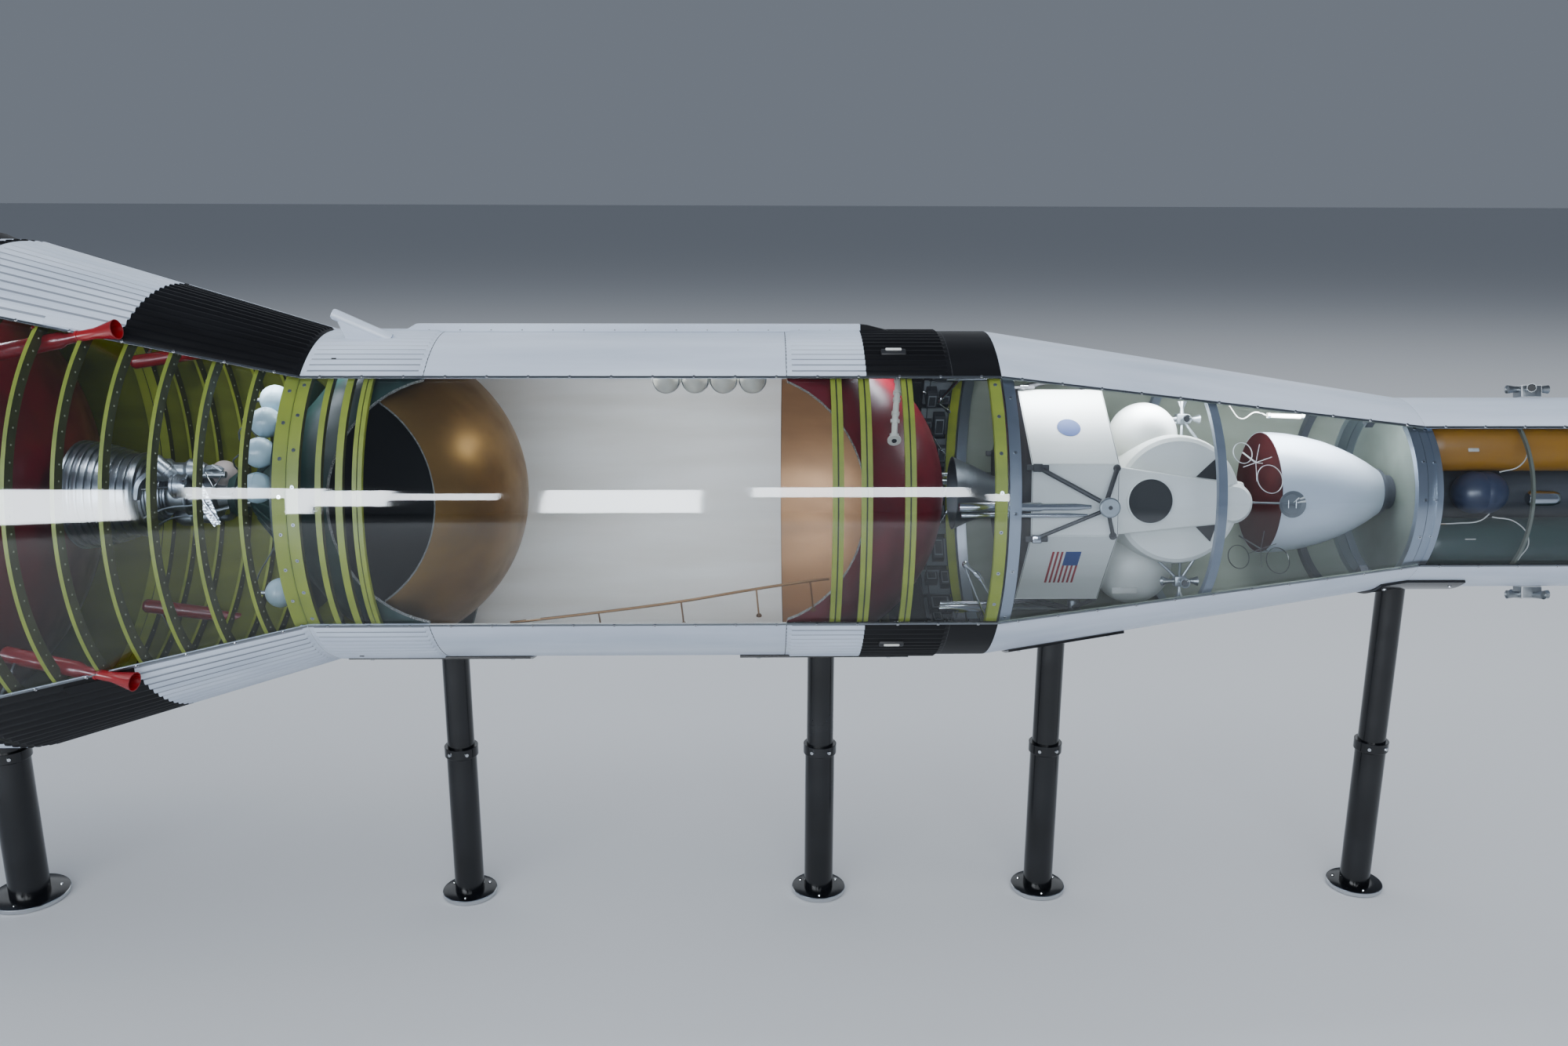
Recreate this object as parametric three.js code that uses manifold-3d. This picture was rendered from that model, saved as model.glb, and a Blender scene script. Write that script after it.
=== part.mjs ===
// A cutaway display model of a three-stage moon rocket at one to ten, lying level on black posts.
// Millimetres, +Z up, nose towards +X. A window a quarter of the way round faces -Y along the body.
// Clear panels close it, and behind them are the tanks, engines, ring frames and the lander.
import * as THREE from "three";
import { mergeVertices } from "three/addons/utils/BufferGeometryUtils.js";
import Module from "manifold-3d";

const wasm = await Module();
wasm.setup();

// Driving dimensions. The rocket's own numbers are inches of the full-size vehicle: a station is a
// place along its axis, and its group is scaled so that one such inch is INCH millimetres.
const INCH = 2.54;
const MIDDLE_STATION = 2062.5;
const AXIS_HEIGHT = 905;
const LARGE_RADIUS = 198;
const THIRD_RADIUS = 130;
const SERVICE_RADIUS = 77;
const SKIN = 2.4;
const SEAM = 0.06;
const GAP = 0.12;
const DOME_LEAN = 20;
const LARGE_DOME = 119;
const SECOND_DOME = 140;
const DEEP_RING = 7;
const ROUND = 24;
const DOME_STEPS = 4;

// The window, in degrees from level towards -Y, upwards.
const WINDOW_LOW = -36;
const WINDOW_HIGH = 54;
const WINDOW_MIDDLE = (WINDOW_LOW + WINDOW_HIGH) / 2;

// Stations where the sections of the body meet.
const THRUST_AFT = 116;
const FUEL_AFT = 365;
const FUEL_FORE = 602;
const LOX_AFT = 865;
const LOX_FORE = 1401;
const FIRST_TOP = 1541;
const SECOND_SKIRT = 1760;
const SECOND_TANK = 1848;
const SECOND_TANK_FORE = 2385;
const SECOND_TOP = 2519;
const THIRD_BASE = 2747;
const THIRD_TANK = 2836;
const THIRD_TANK_FORE = 3100.6;
const RING_UNIT = 3222.6;
const ADAPTER = 3258.6;
const SERVICE = 3594.6;
const SERVICE_FORE = 3749.8;
const NOSE = 4240.5;

const finish = (color, roughness, metalness = 0) =>
  new THREE.MeshStandardMaterial({ color, roughness, metalness });
const WHITE = finish(0xd7dde8, 0.45);
const BLACK = finish(0x111114, 0.4);
const BRONZE = finish(0x4a3a2a, 0.35, 0.6);
const RED = finish(0x5c0a18, 0.4);
const GREEN = finish(0x14322c, 0.5);
const STEEL = finish(0x9c9ea0, 0.25, 1);
const CREAM = finish(0xcfc9bd, 0.6);
const CLEAR = new THREE.MeshStandardMaterial({
  color: 0xe8eef4,
  roughness: 0.05,
  transparent: true,
  opacity: 0.25,
});

const at = (station) => station - MIDDLE_STATION;

// The outer line of the body, as [station, radius], and the radius anywhere along it.
const BODY_LINE = [
  [THRUST_AFT, LARGE_RADIUS],
  [SECOND_TOP, LARGE_RADIUS],
  [THIRD_BASE, THIRD_RADIUS],
  [ADAPTER, THIRD_RADIUS],
  [SERVICE, SERVICE_RADIUS],
  [SERVICE_FORE, SERVICE_RADIUS],
];
function bodyRadius(station) {
  const next = BODY_LINE.findIndex(([place]) => place > station);
  const [[from, fromRadius], [to, toRadius]] = BODY_LINE.slice(next - 1, next + 1);
  return THREE.MathUtils.mapLinear(station, from, to, fromRadius, toRadius);
}
const radians = THREE.MathUtils.degToRad;

// The point at a radius and an angle round the axis, as the [y, z] of the rocket's frame.
const around = (radius, degrees) => [
  -radius * Math.cos(radians(degrees)),
  radius * Math.sin(radians(degrees)),
];

// A closed geometry as a solid to join and cut.
function solid(geometry) {
  const bare = geometry.clone();
  bare.deleteAttribute("normal");
  bare.deleteAttribute("uv");
  const merged = mergeVertices(bare, 1e-4);
  return new wasm.Manifold(
    new wasm.Mesh({
      numProp: 3,
      vertProperties: merged.attributes.position.array,
      triVerts: new Uint32Array(merged.index.array),
    }),
  );
}

const join = (...shapes) => shapes.reduce((whole, shape) => whole.add(shape));
const cut = (shape, ...tools) =>
  tools.reduce((rest, tool) => rest.subtract(tool), shape);

// An outline of [station, radius] pairs turned about the axis. It closes on itself, or starts and
// ends on the axis.
function revolve(outline, segments = ROUND) {
  const points = outline.map(
    ([station, radius]) => new THREE.Vector2(radius, at(station)),
  );
  if (THREE.ShapeUtils.area(points) < 0) points.reverse();
  const onAxis = points[0].x === 0 && points.at(-1).x === 0;
  if (!onAxis) points.push(points[0].clone());
  const windowEdge = radians(90 - WINDOW_HIGH);
  const turned = new THREE.LatheGeometry(points, segments, windowEdge);
  return solid(turned.rotateZ(-Math.PI / 2));
}

// A flat outline of [y, z] pairs drawn out between two stations.
function prism(outline, from, to) {
  const shape = new THREE.Shape(outline.map(([y, z]) => new THREE.Vector2(y, z)));
  const drawn = new THREE.ExtrudeGeometry(shape, {
    depth: to - from,
    bevelEnabled: false,
  });
  const alongX = new THREE.Matrix4().makeBasis(
    new THREE.Vector3(0, 1, 0),
    new THREE.Vector3(0, 0, 1),
    new THREE.Vector3(1, 0, 0),
  );
  return solid(drawn.applyMatrix4(alongX).translate(at(from), 0, 0));
}

// A wedge from the axis out past the skin, between two angles and two stations.
function wedge(low, high, from, to) {
  const reach = 420;
  const middle = (low + high) / 2;
  const corners = [
    [0, 0],
    around(reach, low),
    around(reach * Math.SQRT2, middle),
    around(reach, high),
  ];
  return prism(corners.reverse(), from, to);
}

// What the window takes out of a skin between two stations.
const opening = (from, to) => wedge(WINDOW_LOW, WINDOW_HIGH, from, to);

// A box laid at a station and radius, facing outwards at an angle: length, depth and width.
function boxAt(station, radius, degrees, length, depth, width) {
  const box = new THREE.BoxGeometry(length, depth, width);
  box.translate(at(station), -radius, 0);
  return solid(box.rotateX(-radians(degrees)));
}

// A rod between two points given as [station, radius, degrees].
function rod(start, end, radius, sides = 8) {
  const [a, b] = [start, end].map(([station, r, degrees]) => {
    const [y, z] = around(r, degrees);
    return new THREE.Vector3(at(station), y, z);
  });
  const length = a.distanceTo(b);
  const bar = new THREE.CylinderGeometry(radius, radius, length, sides);
  const turn = new THREE.Quaternion().setFromUnitVectors(
    new THREE.Vector3(0, 1, 0),
    b.clone().sub(a).normalize(),
  );
  bar.applyQuaternion(turn);
  const middle = a.clone().add(b).multiplyScalar(0.5);
  return solid(bar.translate(middle.x, middle.y, middle.z));
}

// A place given by its distance towards the window's middle and the distance across, upwards, as the
// [station, radius, degrees] that a rod takes.
const facing = (station, towards, across) => [
  station,
  Math.hypot(towards, across),
  WINDOW_MIDDLE + THREE.MathUtils.radToDeg(Math.atan2(across, towards)),
];

// The smallest solid round places given as [station, radius, degrees].
const hull = (places) =>
  wasm.Manifold.hull(
    places.map(([station, radius, degrees]) => [
      at(station),
      ...around(radius, degrees),
    ]),
  );

// A ball at a place given as [station, radius, degrees].
function ballAt([station, radius, degrees], size, sides) {
  const ball = new THREE.SphereGeometry(size, sides, sides / 2);
  const [y, z] = around(radius, degrees);
  return solid(ball.translate(at(station), y, z));
}

// Points of a dome's curve, from its rim to its tip. The height is negative on a dome that points aft.
function domeCurve(rim, radius, height, startDegrees = 0) {
  const points = [];
  for (let step = 0; step <= DOME_STEPS; step++) {
    const share = step / DOME_STEPS;
    const angle = radians(startDegrees + (90 - startDegrees) * share);
    const last = step === DOME_STEPS;
    points.push([
      rim + height * Math.sin(angle),
      last ? 0 : radius * Math.cos(angle),
    ]);
  }
  return points;
}

// The same curve one wall further in.
const innerCurve = (rim, radius, height, startDegrees = 0) =>
  domeCurve(rim, radius - SKIN, height - Math.sign(height) * SKIN, startDegrees);

// The thin shell of a dome.
function domeShell(rim, radius, height) {
  const inner = innerCurve(rim, radius, height).reverse();
  return revolve([...inner, ...domeCurve(rim, radius, height)]);
}

// A tank of two domes: the aft one carries on to its rim, and the bulkhead between the two tanks
// grows out of its wall. The bulkhead is given as its centre, height and the angle where it starts.
function nestedTank(rim, radius, height, bulkhead) {
  const { centre, rise, start } = bulkhead;
  const outside = [
    ...domeCurve(rim, radius, -height).reverse(),
    [rim, radius - SKIN],
    ...domeCurve(centre, radius, rise, start),
  ];
  const inside = [
    ...innerCurve(rim, radius, -height).slice(1).reverse(),
    ...innerCurve(centre, radius, rise, start),
  ];
  return cut(revolve(outside), revolve(inside));
}

// The slanted cut that opens a dome: it meets the window's edges at the rim and leans outwards.
function domeCut(rim, radius, direction, lean) {
  const reach = 2 * radius;
  const depth = radius * Math.cos(radians((WINDOW_HIGH - WINDOW_LOW) / 2));
  const overlap = 0.5;
  const box = new THREE.BoxGeometry(reach, reach, 2 * reach);
  box.translate(direction * (reach / 2 - overlap), -reach / 2, 0);
  box.rotateZ(-direction * radians(lean));
  box.translate(at(rim), -depth, 0);
  return solid(box.rotateX(-radians(WINDOW_MIDDLE)));
}

// Ring frames run on across the window behind the clear panels, from skin to skin.
function hoop(station, width, depth) {
  const [a, b] = [station - width / 2, station + width / 2];
  const [outerA, outerB] = [bodyRadius(a) - SKIN + GAP, bodyRadius(b) - SKIN + GAP];
  const ring = revolve([
    [a, outerA],
    [b, outerB],
    [b, outerB - GAP - depth],
    [a, outerA - GAP - depth],
  ]);
  const oneStep = 360 / ROUND;
  return ring.intersect(
    wedge(WINDOW_LOW - oneStep, WINDOW_HIGH + oneStep, a - 1, b + 1),
  );
}

// A cylinder or cone of skin with the window cut out of it.
function skinSection(from, to) {
  const [a, b] = [from + SEAM, to - SEAM];
  const shell = revolve([
    [a, bodyRadius(a)],
    [b, bodyRadius(b)],
    [b, bodyRadius(b) - SKIN],
    [a, bodyRadius(a) - SKIN],
  ]);
  return cut(shell, opening(from - 1, to + 1));
}

// A tank whose cylinder is also the skin, with a dome at each end that fits inside its neighbours.
function tank(from, to, radius, domeHeight) {
  const domeRadius = radius - SKIN - GAP;
  const body = (inset) => [
    ...domeCurve(from + inset + SEAM, domeRadius - inset, -domeHeight).reverse(),
    [from + inset + SEAM, radius - inset],
    [to - inset - SEAM, radius - inset],
    ...domeCurve(to - inset - SEAM, domeRadius - inset, domeHeight),
  ];
  const shell = cut(revolve(body(0)), revolve(body(SKIN)));
  return cut(
    shell,
    opening(from, to),
    domeCut(from, domeRadius, -1, DOME_LEAN),
    domeCut(to, domeRadius, 1, DOME_LEAN),
  );
}

const rocket = new THREE.Group();
rocket.scale.setScalar(INCH);
rocket.position.z = AXIS_HEIGHT;
const stand = new THREE.Group();
const model = new THREE.Group();
model.add(rocket, stand);

function piece(name, shape, material, group = rocket) {
  const { vertProperties, triVerts } = shape.getMesh();
  const indexed = new THREE.BufferGeometry();
  indexed.setAttribute("position", new THREE.BufferAttribute(vertProperties, 3));
  indexed.setIndex(new THREE.BufferAttribute(triVerts, 1));
  const geometry = indexed.toNonIndexed();
  geometry.computeVertexNormals();
  const mesh = new THREE.Mesh(geometry, material);
  mesh.name = name;
  group.add(mesh);
}

// Skins that carry ring frames. Columns: name, the stations of its ends, material, and the rings, whose
// own columns are station, width and depth.
const SECTIONS = [
  ["first_stage_thrust_skin", THRUST_AFT, FUEL_AFT, WHITE, [[240, 6, DEEP_RING]]],
  ["first_stage_intertank", FUEL_FORE, LOX_AFT, BLACK, [[734, 6, DEEP_RING]]],
  ["first_stage_forward_skirt", LOX_FORE, FIRST_TOP, WHITE, [[1536, 6, DEEP_RING]]],
  ["second_stage_interstage", FIRST_TOP, SECOND_SKIRT, WHITE, [[1650, 6, DEEP_RING]]],
  ["second_stage_aft_skirt", SECOND_SKIRT, SECOND_TANK, WHITE, [[1764, 6, DEEP_RING]]],
  [
    "second_stage_forward_skirt",
    SECOND_TANK_FORE,
    SECOND_TOP,
    WHITE,
    [[2514, 6, DEEP_RING]],
  ],
  [
    "third_stage_aft_skirt",
    THIRD_BASE,
    THIRD_TANK,
    WHITE,
    [
      [2751.3, 8.4, 5],
      [2769.2, 4.2, 5.5],
      [2783.9, 5, 5],
      [2796.5, 6.8, 4],
    ],
  ],
  [
    "third_stage_forward_skirt",
    THIRD_TANK_FORE,
    RING_UNIT,
    WHITE,
    [
      [3136.7, 8, 4],
      [3157.3, 8, 4],
      [3188.5, 8, 4],
    ],
  ],
];
for (const [name, from, to, material, rings] of SECTIONS) {
  const hoops = rings.map((ring) => hoop(...ring));
  piece(name, join(skinSection(from, to), ...hoops), material);
}

// First stage: two tanks that are also the skin.
const OUTBOARD_ENGINE = 182;
const DIAGONALS = [45, 135, 225, 315];
piece(
  "first_stage_fuel_tank",
  tank(FUEL_AFT, FUEL_FORE, LARGE_RADIUS, LARGE_DOME),
  BLACK,
);
piece(
  "first_stage_oxidizer_tank",
  tank(LOX_AFT, LOX_FORE, LARGE_RADIUS, LARGE_DOME),
  WHITE,
);

// An engine's bell, chamber and pumps. Its outline is [distance from the exit, radius] at the size
// of the upper stages' engine, whose bell is BELL_RADIUS at the exit.
const BELL_RADIUS = 40;
const ENGINE_LENGTH = 128;
const BELL_OUTSIDE = [
  [0, BELL_RADIUS],
  [36, 31],
  [64, 11],
];
const SEEN_BELL = [
  [0, BELL_RADIUS],
  [10, 38.6],
  [20, 36.6],
  [30, 33.6],
  [40, 29.5],
  [50, 24],
  [58, 17.5],
  [64, 11],
];
const CHAMBER = [
  [70, 15],
  [95, 15],
  [ENGINE_LENGTH, 9],
  [ENGINE_LENGTH, 0],
];
const CHAMBER_FLOOR = 55;
const ENGINE_ROUND = 10;
const SEEN_ENGINE_ROUND = 24;
const BELL_WALL = 1.4;
const PUMP = {
  aft: 60,
  fore: 100,
  aftPlace: 18,
  forePlace: 14,
  radius: 7.5,
  turn: WINDOW_MIDDLE + 70,
};

function engine(exit, scale, radius = 0, degrees = 0, seen = false) {
  const bell = seen ? SEEN_BELL : BELL_OUTSIDE;
  const place = ([distance, r]) => [exit + distance * scale, r * scale];
  const inside = bell.slice(0, -1).map(([distance, r]) => [
    distance,
    r - BELL_WALL,
  ]);
  const outline = [
    [CHAMBER_FLOOR, 0],
    ...inside.reverse(),
    ...bell,
    ...CHAMBER,
  ];
  const [y, z] = around(radius, degrees);
  const pump = rod(
    [exit + PUMP.aft * scale, PUMP.aftPlace * scale, PUMP.turn],
    [exit + PUMP.fore * scale, PUMP.forePlace * scale, PUMP.turn],
    PUMP.radius * scale,
  );
  const round = seen ? SEEN_ENGINE_ROUND : ENGINE_ROUND;
  return join(revolve(outline.map(place), round), pump).translate(0, y, z);
}

// The five first-stage engines hang from the heat shield.
const FIRST_EXIT = -115.5;
const FIRST_SCALE = 1.78;
const SHIELD_RADIUS = LARGE_RADIUS - SKIN - GAP;
const SHIELD_HALF = 5;
const heatShield = revolve([
  [THRUST_AFT - SHIELD_HALF, 0],
  [THRUST_AFT - SHIELD_HALF, SHIELD_RADIUS],
  [THRUST_AFT + SHIELD_HALF, SHIELD_RADIUS],
  [THRUST_AFT + SHIELD_HALF, 0],
]);
const firstEngines = [
  engine(FIRST_EXIT, FIRST_SCALE),
  ...DIAGONALS.map((degrees) =>
    engine(FIRST_EXIT, FIRST_SCALE, OUTBOARD_ENGINE, degrees),
  ),
];
piece("first_stage_engines", join(heatShield, ...firstEngines), STEEL);

// A fairing over each outboard engine, with its fin.
const FAIRING = { aft: 0, fore: 350, aftRadius: 70, foreRadius: 3 };
const FAIRING_AFT_PLACE = 178;
const FAIRING_FORE_PLACE = 191;
const FAIRING_WALL = 3;
const FIN_PLAN = [
  [40, 205],
  [210, 205],
  [105, 378],
  [40, 378],
];
const FIN_THICK = [
  [205, 6],
  [378, 2],
];

function fairingCone(inset) {
  const { aft, fore, aftRadius, foreRadius } = FAIRING;
  const length = fore - aft;
  const cone = new THREE.CylinderGeometry(
    Math.max(foreRadius - inset, 0.5),
    aftRadius - inset,
    length,
    24,
  );
  cone.rotateZ(-Math.PI / 2);
  const slope = (FAIRING_FORE_PLACE - FAIRING_AFT_PLACE) / length;
  const lean = new THREE.Matrix4().set(
    1, 0, 0, 0,
    -slope, 1, 0, 0,
    0, 0, 1, 0,
    0, 0, 0, 1,
  );
  cone.applyMatrix4(lean);
  const middle = (FAIRING_AFT_PLACE + FAIRING_FORE_PLACE) / 2;
  return cone.translate(at((aft + fore) / 2) - inset, -middle, 0);
}

function finBlade() {
  const plan = new THREE.Shape(
    FIN_PLAN.map(([station, radius]) => new THREE.Vector2(at(station), -radius)),
  );
  const thick = FIN_THICK[0][1];
  const blade = new THREE.ExtrudeGeometry(plan, {
    depth: 2 * thick,
    bevelEnabled: false,
  });
  blade.translate(0, 0, -thick);
  const [[rootPlace, root], [tipPlace, tip]] = FIN_THICK;
  const taper = prism(
    [
      [-rootPlace, -root],
      [-rootPlace, root],
      [-tipPlace, tip],
      [-tipPlace, -tip],
    ],
    0,
    300,
  );
  return solid(blade).intersect(taper);
}

const bodyClearance = revolve([
  [-50, 0],
  [-50, LARGE_RADIUS + GAP],
  [400, LARGE_RADIUS + GAP],
  [400, 0],
]);
const fairing = cut(join(solid(fairingCone(0)), finBlade()), solid(fairingCone(FAIRING_WALL)));
DIAGONALS.forEach((degrees, index) => {
  const turned = fairing.rotate([-degrees, 0, 0]);
  piece(`engine_fairing_${index + 1}`, cut(turned, bodyClearance), WHITE);
});

// Second stage: tank, the domes at its two ends, and five engines on a cone.
const SECOND_EXIT = 1560;
const SECOND_OUTBOARD = 105;
const SECOND_INSIDE = LARGE_RADIUS - SKIN - GAP;
piece(
  "second_stage_tank",
  skinSection(SECOND_TANK, SECOND_TANK_FORE),
  WHITE,
);
piece(
  "second_stage_forward_dome",
  cut(
    domeShell(SECOND_TANK_FORE + SEAM, SECOND_INSIDE, SECOND_DOME),
    domeCut(SECOND_TANK_FORE, SECOND_INSIDE, 1, DOME_LEAN),
  ),
  RED,
);
const SECOND_BULKHEAD = { centre: 1810, rise: 130, start: 15 };
piece(
  "second_stage_oxidizer_tank",
  cut(
    nestedTank(SECOND_TANK - SEAM, SECOND_INSIDE, SECOND_DOME, SECOND_BULKHEAD),
    domeCut(SECOND_TANK, SECOND_INSIDE, -1, DOME_LEAN),
    domeCut(SECOND_BULKHEAD.centre, SECOND_INSIDE, 1, DOME_LEAN),
  ),
  GREEN,
);
const SECOND_CONE = {
  mount: SECOND_EXIT + ENGINE_LENGTH,
  aftRadius: 127,
  fore: SECOND_SKIRT + 7,
  foreRadius: LARGE_RADIUS - SKIN - DEEP_RING - GAP,
  wall: 4,
};
const secondCone = revolve([
  [SECOND_CONE.mount - 1, 0],
  [SECOND_CONE.mount - 1, SECOND_CONE.aftRadius],
  [SECOND_CONE.fore, SECOND_CONE.foreRadius],
  [SECOND_CONE.fore, SECOND_CONE.foreRadius - SECOND_CONE.wall],
  [SECOND_CONE.mount + SECOND_CONE.wall, SECOND_CONE.aftRadius - SECOND_CONE.wall],
  [SECOND_CONE.mount + SECOND_CONE.wall, 0],
]);
const secondEngines = [
  engine(SECOND_EXIT, 1),
  ...DIAGONALS.map((degrees) => engine(SECOND_EXIT, 1, SECOND_OUTBOARD, degrees)),
];
piece("second_stage_engines", join(secondCone, ...secondEngines), STEEL);

// The conical interstage, its ring frames as [station, width, depth], and the four braking motors.
// A motor leans outwards through the skin or a clear panel. It is its case, its neck and its mouth.
// Columns: the place of each end as station and distance from the axis, and the radius.
const INTERSTAGE_RINGS = [
  [SECOND_TOP + 5, 8, DEEP_RING],
  [2550.6, 2.4, 10],
  [2578.8, 2.4, 10],
  [2607, 2.4, 10],
  [2634.5, 2.4, 10],
  [2662.8, 2.4, 10],
  [2690.5, 2.4, 10],
  [2718.3, 2.4, 10],
  [2742.4, 9, 8],
];
const MOTOR_PLACES = [53.5, 143.5, 233.5, 323.5];
const MOTOR = [
  [2532, 151.8, 2592, 166.2, 6],
  [2590, 165.7, 2622, 173.4, 3.8],
  [2620, 172.9, 2634, 176.3, 7],
];
const MOTOR_ROUND = 8;
const MOTOR_CLEARANCE = 0.5;
const motorRods = (more) =>
  MOTOR_PLACES.flatMap((degrees) =>
    MOTOR.map(([aft, aftPlace, fore, forePlace, radius]) =>
      rod(
        [aft, aftPlace, degrees],
        [fore, forePlace, degrees],
        radius + more,
        MOTOR_ROUND,
      ),
    ),
  );
const interstageHoops = INTERSTAGE_RINGS.map((ring) => hoop(...ring));
piece(
  "interstage",
  join(skinSection(SECOND_TOP, THIRD_BASE), ...interstageHoops, ...motorRods(0)),
  WHITE,
);

// Third stage: the fuel tank's cylinder, its forward dome, and the oxidizer tank that its aft end
// shares a bulkhead with. Four gas bottles hang in the fuel tank, and a pipe runs along it on stays.
const THIRD_INSIDE = THIRD_RADIUS - SKIN - GAP;
const THIRD_BULKHEAD = { centre: 2768, rise: THIRD_INSIDE, start: 20 };
const TANK_WALL_PLACE = THIRD_RADIUS - 1;
const TANK_BOTTLES = [3010, 3032, 3053.5, 3075.6];
const TANK_BOTTLE = { radius: 11, place: 105, degrees: 69, hanger: 2 };
const tankBottles = TANK_BOTTLES.map((station) => {
  const { radius, place, degrees, hanger } = TANK_BOTTLE;
  return join(
    ballAt([station, place, degrees], radius, 10),
    rod([station, place, degrees], [station, TANK_WALL_PLACE, degrees], hanger, 5),
  );
});
const TANK_PIPE = [
  [2893, 120, -41],
  [2960, 118, -36],
  [3022, 116, -31],
  [3078, 112, -26.5],
  [3132, 109, -23],
];
const PIPE_THICK = 1.3;
const STAY = { radius: 0.9, turn: 16 };
const tankPipe = TANK_PIPE.slice(1).map((end, index) =>
  rod(TANK_PIPE[index], end, PIPE_THICK, 6),
);
const pipeStays = TANK_PIPE.slice(0, -1).map(([station, radius, degrees]) =>
  rod(
    [station, radius, degrees],
    [station, TANK_WALL_PLACE, degrees - STAY.turn],
    STAY.radius,
    5,
  ),
);
piece(
  "third_stage_tank",
  join(
    skinSection(THIRD_TANK, THIRD_TANK_FORE),
    ...tankBottles,
    ...tankPipe,
    ...pipeStays,
  ),
  WHITE,
);
piece(
  "third_stage_forward_dome",
  cut(
    domeShell(THIRD_TANK_FORE + SEAM, THIRD_INSIDE, THIRD_INSIDE),
    domeCut(THIRD_TANK_FORE, THIRD_INSIDE, 1, DOME_LEAN),
  ),
  RED,
);
const BULKHEAD_OPENING = { station: 2850, length: 106, inner: 102, depth: 200 };
const bulkheadCut = boxAt(
  BULKHEAD_OPENING.station,
  BULKHEAD_OPENING.inner + BULKHEAD_OPENING.depth / 2,
  WINDOW_MIDDLE,
  BULKHEAD_OPENING.length,
  BULKHEAD_OPENING.depth,
  2 * LARGE_RADIUS,
);
piece(
  "third_stage_oxidizer_tank",
  cut(
    nestedTank(THIRD_TANK - SEAM, THIRD_INSIDE, THIRD_INSIDE, THIRD_BULKHEAD),
    domeCut(THIRD_TANK, THIRD_INSIDE, -1, DOME_LEAN),
    bulkheadCut,
  ),
  GREEN,
);

// The engine, and the cone that carries it, with helium bottles round the cone.
const THIRD_EXIT = 2542.6;
const THIRD_SCALE = 1.05;
const THIRD_MOUNT = THIRD_EXIT + ENGINE_LENGTH * THIRD_SCALE;
piece("third_stage_engine", engine(THIRD_EXIT, THIRD_SCALE, 0, 0, true), STEEL);
const BOTTLE_RADIUS = 12;
const BOTTLE_PLACE = 87;
const BOTTLE_STATION = 2712;
const BOTTLES = [68.5, 51, 33.5, 16, -48, 150, 168, 186];
const FLANGE = { aft: 2722, fore: 2724, radius: 92 };
const CONE_FORE = 2745;
const THRUST_CONE = [
  [THIRD_MOUNT + GAP, 0],
  [THIRD_MOUNT + GAP, 16],
  [FLANGE.aft, 66],
  [FLANGE.aft, FLANGE.radius],
  [FLANGE.fore, FLANGE.radius],
  [FLANGE.fore, 68.5],
  [CONE_FORE, 88.7],
  [CONE_FORE, 85.7],
  [THIRD_MOUNT + 5, 14],
  [THIRD_MOUNT + 5, 0],
];
const aftDome = revolve([
  ...domeCurve(THIRD_TANK, THIRD_INSIDE + GAP, -THIRD_INSIDE - GAP).reverse(),
  [THIRD_TANK, 0],
]);
const bottles = BOTTLES.map((degrees) =>
  ballAt([BOTTLE_STATION, BOTTLE_PLACE, degrees], BOTTLE_RADIUS, 8),
);
piece(
  "third_stage_thrust_cone",
  join(cut(revolve(THRUST_CONE), aftDome), ...bottles),
  GREEN,
);

// The instrument ring, with its equipment boxes on the inside of the skin.
const EQUIPMENT = [75, 95, 115, 135, 155, 175, 195, 215, 235, 255, 275, 295];
const EQUIPMENT_BOX = { station: 3240, place: 122, length: 26, depth: 12, width: 22 };
const unitBoxes = EQUIPMENT.map((degrees) => {
  const { station, place, length, depth, width } = EQUIPMENT_BOX;
  return boxAt(station, place, degrees, length, depth, width);
});
piece(
  "instrument_unit",
  join(
    skinSection(RING_UNIT, ADAPTER),
    hoop(3253.5, 9, 5),
    ...unitBoxes,
  ),
  BLACK,
);

// The adapter cone, with its rings as [station, width, depth].
const ADAPTER_RINGS = [
  [3263.6, 8.6, 5],
  [3422, 7, 4],
  [3551, 6, 5],
  [3585, 18, 4],
];
const adapterHoops = ADAPTER_RINGS.map((ring) => hoop(...ring));
piece("adapter_skin", join(skinSection(ADAPTER, SERVICE), ...adapterHoops), WHITE);

// The lander: an eight-sided descent stage with its bell aft, and the ascent stage before it.
const DESCENT_AFT = 3284;
const DESCENT_FORE = 3350;
const DESCENT_HALF = 83;
const DESCENT_SIDE = 27;
const turnedCorner = (towards, across) => {
  const [, radius, degrees] = facing(0, towards, across);
  return around(radius, degrees);
};
const OCTAGON = [
  [DESCENT_HALF, -DESCENT_SIDE],
  [DESCENT_HALF, DESCENT_SIDE],
  [DESCENT_SIDE, DESCENT_HALF],
  [-DESCENT_SIDE, DESCENT_HALF],
  [-DESCENT_HALF, DESCENT_SIDE],
  [-DESCENT_HALF, -DESCENT_SIDE],
  [-DESCENT_SIDE, -DESCENT_HALF],
  [DESCENT_SIDE, -DESCENT_HALF],
];
const ARM_STATION = 3336;
const descentBody = prism(
  OCTAGON.map((corner) => turnedCorner(...corner)),
  DESCENT_AFT,
  DESCENT_FORE,
);
const DESCENT_BELL = [
  [3280, 0],
  [3237, 27.5],
  [3237, 29.5],
  [3260, 22],
  [DESCENT_AFT + 1, 12],
  [DESCENT_AFT + 1, 0],
];
const LEG = { root: 80, place: 105, foot: 3225, radius: 3 };
const legs = [0, 90, 180, 270].map((quarter) => {
  const degrees = WINDOW_MIDDLE + quarter;
  const end = bodyRadius(ARM_STATION + 4) - SKIN - GAP;
  const along = (station, radius) => [station, radius, degrees];
  return join(
    rod(along(ARM_STATION, LEG.root), along(ARM_STATION, end), LEG.radius, 10),
    rod(along(ARM_STATION, LEG.place), along(LEG.foot, LEG.place), LEG.radius, 10),
  );
});
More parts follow.
